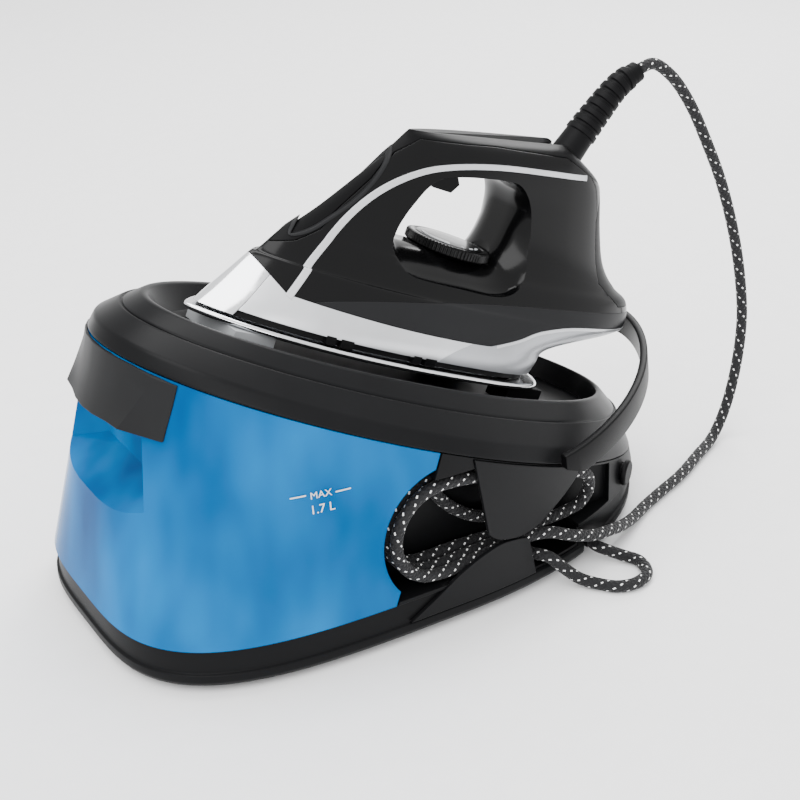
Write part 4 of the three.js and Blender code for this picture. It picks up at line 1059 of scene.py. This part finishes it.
def make_relief():
    """The ribbed sleeve where the cord leaves the handle."""
    path, _ = centripetal([(RELIEF_X - 4.7, 0, RELIEF_Z - 12), (RELIEF_X, 0, RELIEF_Z),
                                (RELIEF_X + 11, 0, RELIEF_Z + 28), (RELIEF_X + 21, 0, RELIEF_Z + 49),
                                (RELIEF_X + 31, 0, RELIEF_Z + 60)], 0.45)
    ahead = np.gradient(path, axis=0)
    ahead /= np.linalg.norm(ahead, axis=1)[:, None]
    rings = []
    for i, (at, along) in enumerate(zip(path, ahead)):
        t = i / (len(path) - 1)
        side = np.array([0.0, 1.0, 0.0])
        up = np.cross(along, side)
        rib = 0
        if 0.36 < t < 0.94:
            phase = (t - 0.36) / 0.58 * 8 % 1
            rib = 1.0 if phase < 0.62 else -0.3
        radius = RELIEF_RADIUS - 4.2 * t + rib * 0.85
        angle = 2 * math.pi * np.arange(48) / 48
        rings.append(at + radius * (np.outer(np.cos(angle), side) + np.outer(np.sin(angle), up)))
    finish_mesh(loft(rings), "cord_relief_sleeve", "rubber", "iron", ["cord_relief"], iron=True)


# ---------- Dial ----------
def make_dial():
    teeth, radius = 72, DIAL_DIAMETER / 2
    low = SADDLE_HEIGHT - 1.2
    levels = [(0.9, 0), (0, 0.9), (0, DIAL_THICKNESS - 1.6), (0.5, DIAL_THICKNESS - 0.9),
              (1.5, DIAL_THICKNESS - 0.5),
              (3.2, DIAL_THICKNESS - 0.5), (3.7, DIAL_THICKNESS - 0.9), (4.2, DIAL_THICKNESS - 0.9),
              (5, DIAL_THICKNESS - 0.3), (9, DIAL_THICKNESS), (18, DIAL_THICKNESS + 0.1)]
    rings = []
    for inset, z in levels:
        angle = 2 * math.pi * np.arange(teeth * 6) / (teeth * 6)
        wave = 0.45 * np.clip(np.cos(angle * teeth) * 1.6, -1, 1) * (inset < 0.6)
        r = radius - 0.45 - inset + wave
        rings.append(np.stack([DIAL_X + r * np.cos(angle), r * np.sin(angle), np.full_like(angle, low + z)],
                              1))
    body = loft(rings)
    shaft = round_bar(4.5, 22, (DIAL_X, 0, low - 21), (0, 0, 1), 32)
    body = combine(body, shaft, "UNION")
    finish_mesh(body, "dial_knob", "glossBlack", "dial", ["dial"], iron=True, crease=28)
    top = low + DIAL_THICKNESS

    def arc_mark(from_degrees, to_degrees, inner, outer, name):
        steps = np.radians(np.linspace(from_degrees, to_degrees, 14))
        share = np.linspace(0.15, 1, 14)
        rings = []
        for a, t in zip(steps, share):
            middle, half = (inner + outer) / 2, (outer - inner) / 2 * t
            spots = [(middle - half, -0.2), (middle + half, -0.2), (middle + half, 0.18),
                     (middle - half, 0.18)]
            rings.append([(DIAL_X + r * math.cos(a), r * math.sin(a), top + z) for r, z in spots])
        finish_mesh(loft(rings), name, "mark", "dial", iron=True)

    arc_mark(150, 235, 13.5, 19.5, "dial_arc")
    for i, a in enumerate((262, 285, 308)):
        for k in range(i + 1):
            spot = math.radians(a + 5 * k - 2.5 * i)
            place = (DIAL_X + 17 * math.cos(spot), 17 * math.sin(spot), top - 0.25)
            finish_mesh(round_bar(0.75, 0.42, place, (0, 0, 1), 20), f"dial_dot_{i}_{k}", "mark", "dial",
                        iron=True)


# ---------- Lock hoop ----------
def make_hoop():
    half = HOOP_WIDTH / 2
    section = rounded([(0, -half), (0, half), (1, half), (1, -half)], 1.1, 5)
    rings = []
    for angle in np.linspace(-math.pi / 2, math.pi / 2, 121):
        c, s = math.cos(angle), math.sin(angle)
        ends = []
        for grow in (-HOOP_THICKNESS / 2, HOOP_THICKNESS / 2):
            ends.append(np.array([(HOOP_REACH + grow) * abs(c) ** (2 / HOOP_POWER),
                                  (HOOP_HALF_WIDTH + grow) * math.copysign(abs(s) ** (2 / HOOP_POWER), s)]))
        ring = []
        for t, z in section:
            x, y = ends[0] + (ends[1] - ends[0]) * t
            ring.append((HOOP_X + x * math.cos(HOOP_ANGLE) - z * math.sin(HOOP_ANGLE), y,
                         HOOP_Z + x * math.sin(HOOP_ANGLE) + z * math.cos(HOOP_ANGLE)))
        rings.append(ring)
    edge = [(x, EDGE_HEIGHT - SLOPE * x) for x in (HOOP_X - 30, HOOP_X + 60)]
    below = prism([*edge, (HOOP_X + 60, 0), (HOOP_X - 30, 0)], -150, 150)
    band = cut(loft(rings), below)
    finish_mesh(band, "hoop_band", "blackPlastic", "lock_hoop", ["lock_hoop"])


# ---------- Carried-over CAD nodes ----------
def dress_nodes():
    """Every CAD node that still shows gets its finish, softened edges and smooth shading."""
    slots = {part["node"]: part["material_slot"] for part in frame["record"]["subparts"]}
    for name, obj in frame["nodes"].items():
        obj.data.materials.clear()
        obj.data.materials.append(LOOKS[slots[name]])
        if obj.hide_render:
            continue
        weld = obj.modifiers.new("weld", "WELD")
        weld.merge_threshold = 1e-5
        bevel = obj.modifiers.new("bevel", "BEVEL")
        bevel.width = 0.0004
        bevel.segments = 2
        bevel.limit_method = "ANGLE"
        bevel.angle_limit = math.radians(40)
        bevel.harden_normals = False
        for polygon in obj.data.polygons:
            polygon.use_smooth = True
        normal = obj.modifiers.new("normals", "WEIGHTED_NORMAL")
        normal.keep_sharp = True


# ---------- Studio ----------
# Name, place, width, height and power of each lamp, in metres and watts.
LAMPS = [("key", (-0.9, -0.5, 1.5), 1.0, 1.4, 26), ("side", (-0.9, -1.5, 0.6), 0.9, 0.7, 9),
         ("rear", (1.2, 0.9, 1.1), 0.9, 0.9, 22), ("top", (0.1, 0.3, 1.7), 1.2, 0.6, 20)]


def make_studio():
    floor = bpy.data.objects.new("floor", bpy.data.meshes.new("floor"))
    corners = [(x * FLOOR_SIZE, y * FLOOR_SIZE, 0) for x, y in ((-1, -1), (1, -1), (1, 1), (-1, 1))]
    floor.data.from_pydata(corners, [], [(0, 1, 2, 3)])
    bpy.context.collection.objects.link(floor)
    material, tree, shader = new_material("floor_paper", (0.93, 0.93, 0.935), 0.85)
    grain = noise(tree, 60, 3)
    tint(tree, shader, grain.outputs["Fac"], (0.92, 0.92, 0.925), (0.94, 0.94, 0.945))
    floor.data.materials.append(material)
    world = bpy.data.worlds.new("studio")
    bpy.context.scene.world = world
    world.use_nodes = True
    world.node_tree.nodes["Background"].inputs["Color"].default_value = (1, 1, 1, 1)
    world.node_tree.nodes["Background"].inputs["Strength"].default_value = WORLD_STRENGTH
    for name, place, width, height, power in LAMPS:
        data = bpy.data.lights.new(name, "AREA")
        data.shape = "RECTANGLE"
        data.size = width
        data.size_y = height
        data.energy = power
        lamp = bpy.data.objects.new(name, data)
        bpy.context.collection.objects.link(lamp)
        lamp.location = place
        lamp.rotation_euler = (Vector((0, 0, 0.12)) - lamp.location).to_track_quat("-Z", "Y").to_euler()


make_pan()
make_housing()
make_clasps()
make_cover()
make_tank()
make_beak()
make_mark()
make_iron_body()
make_grip()
make_rear_cover()
make_trims()
make_skirt()
make_spacer_blocks()
make_nose()
make_sole()
make_relief()
make_dial()
make_hoop()
dress_nodes()
make_studio()
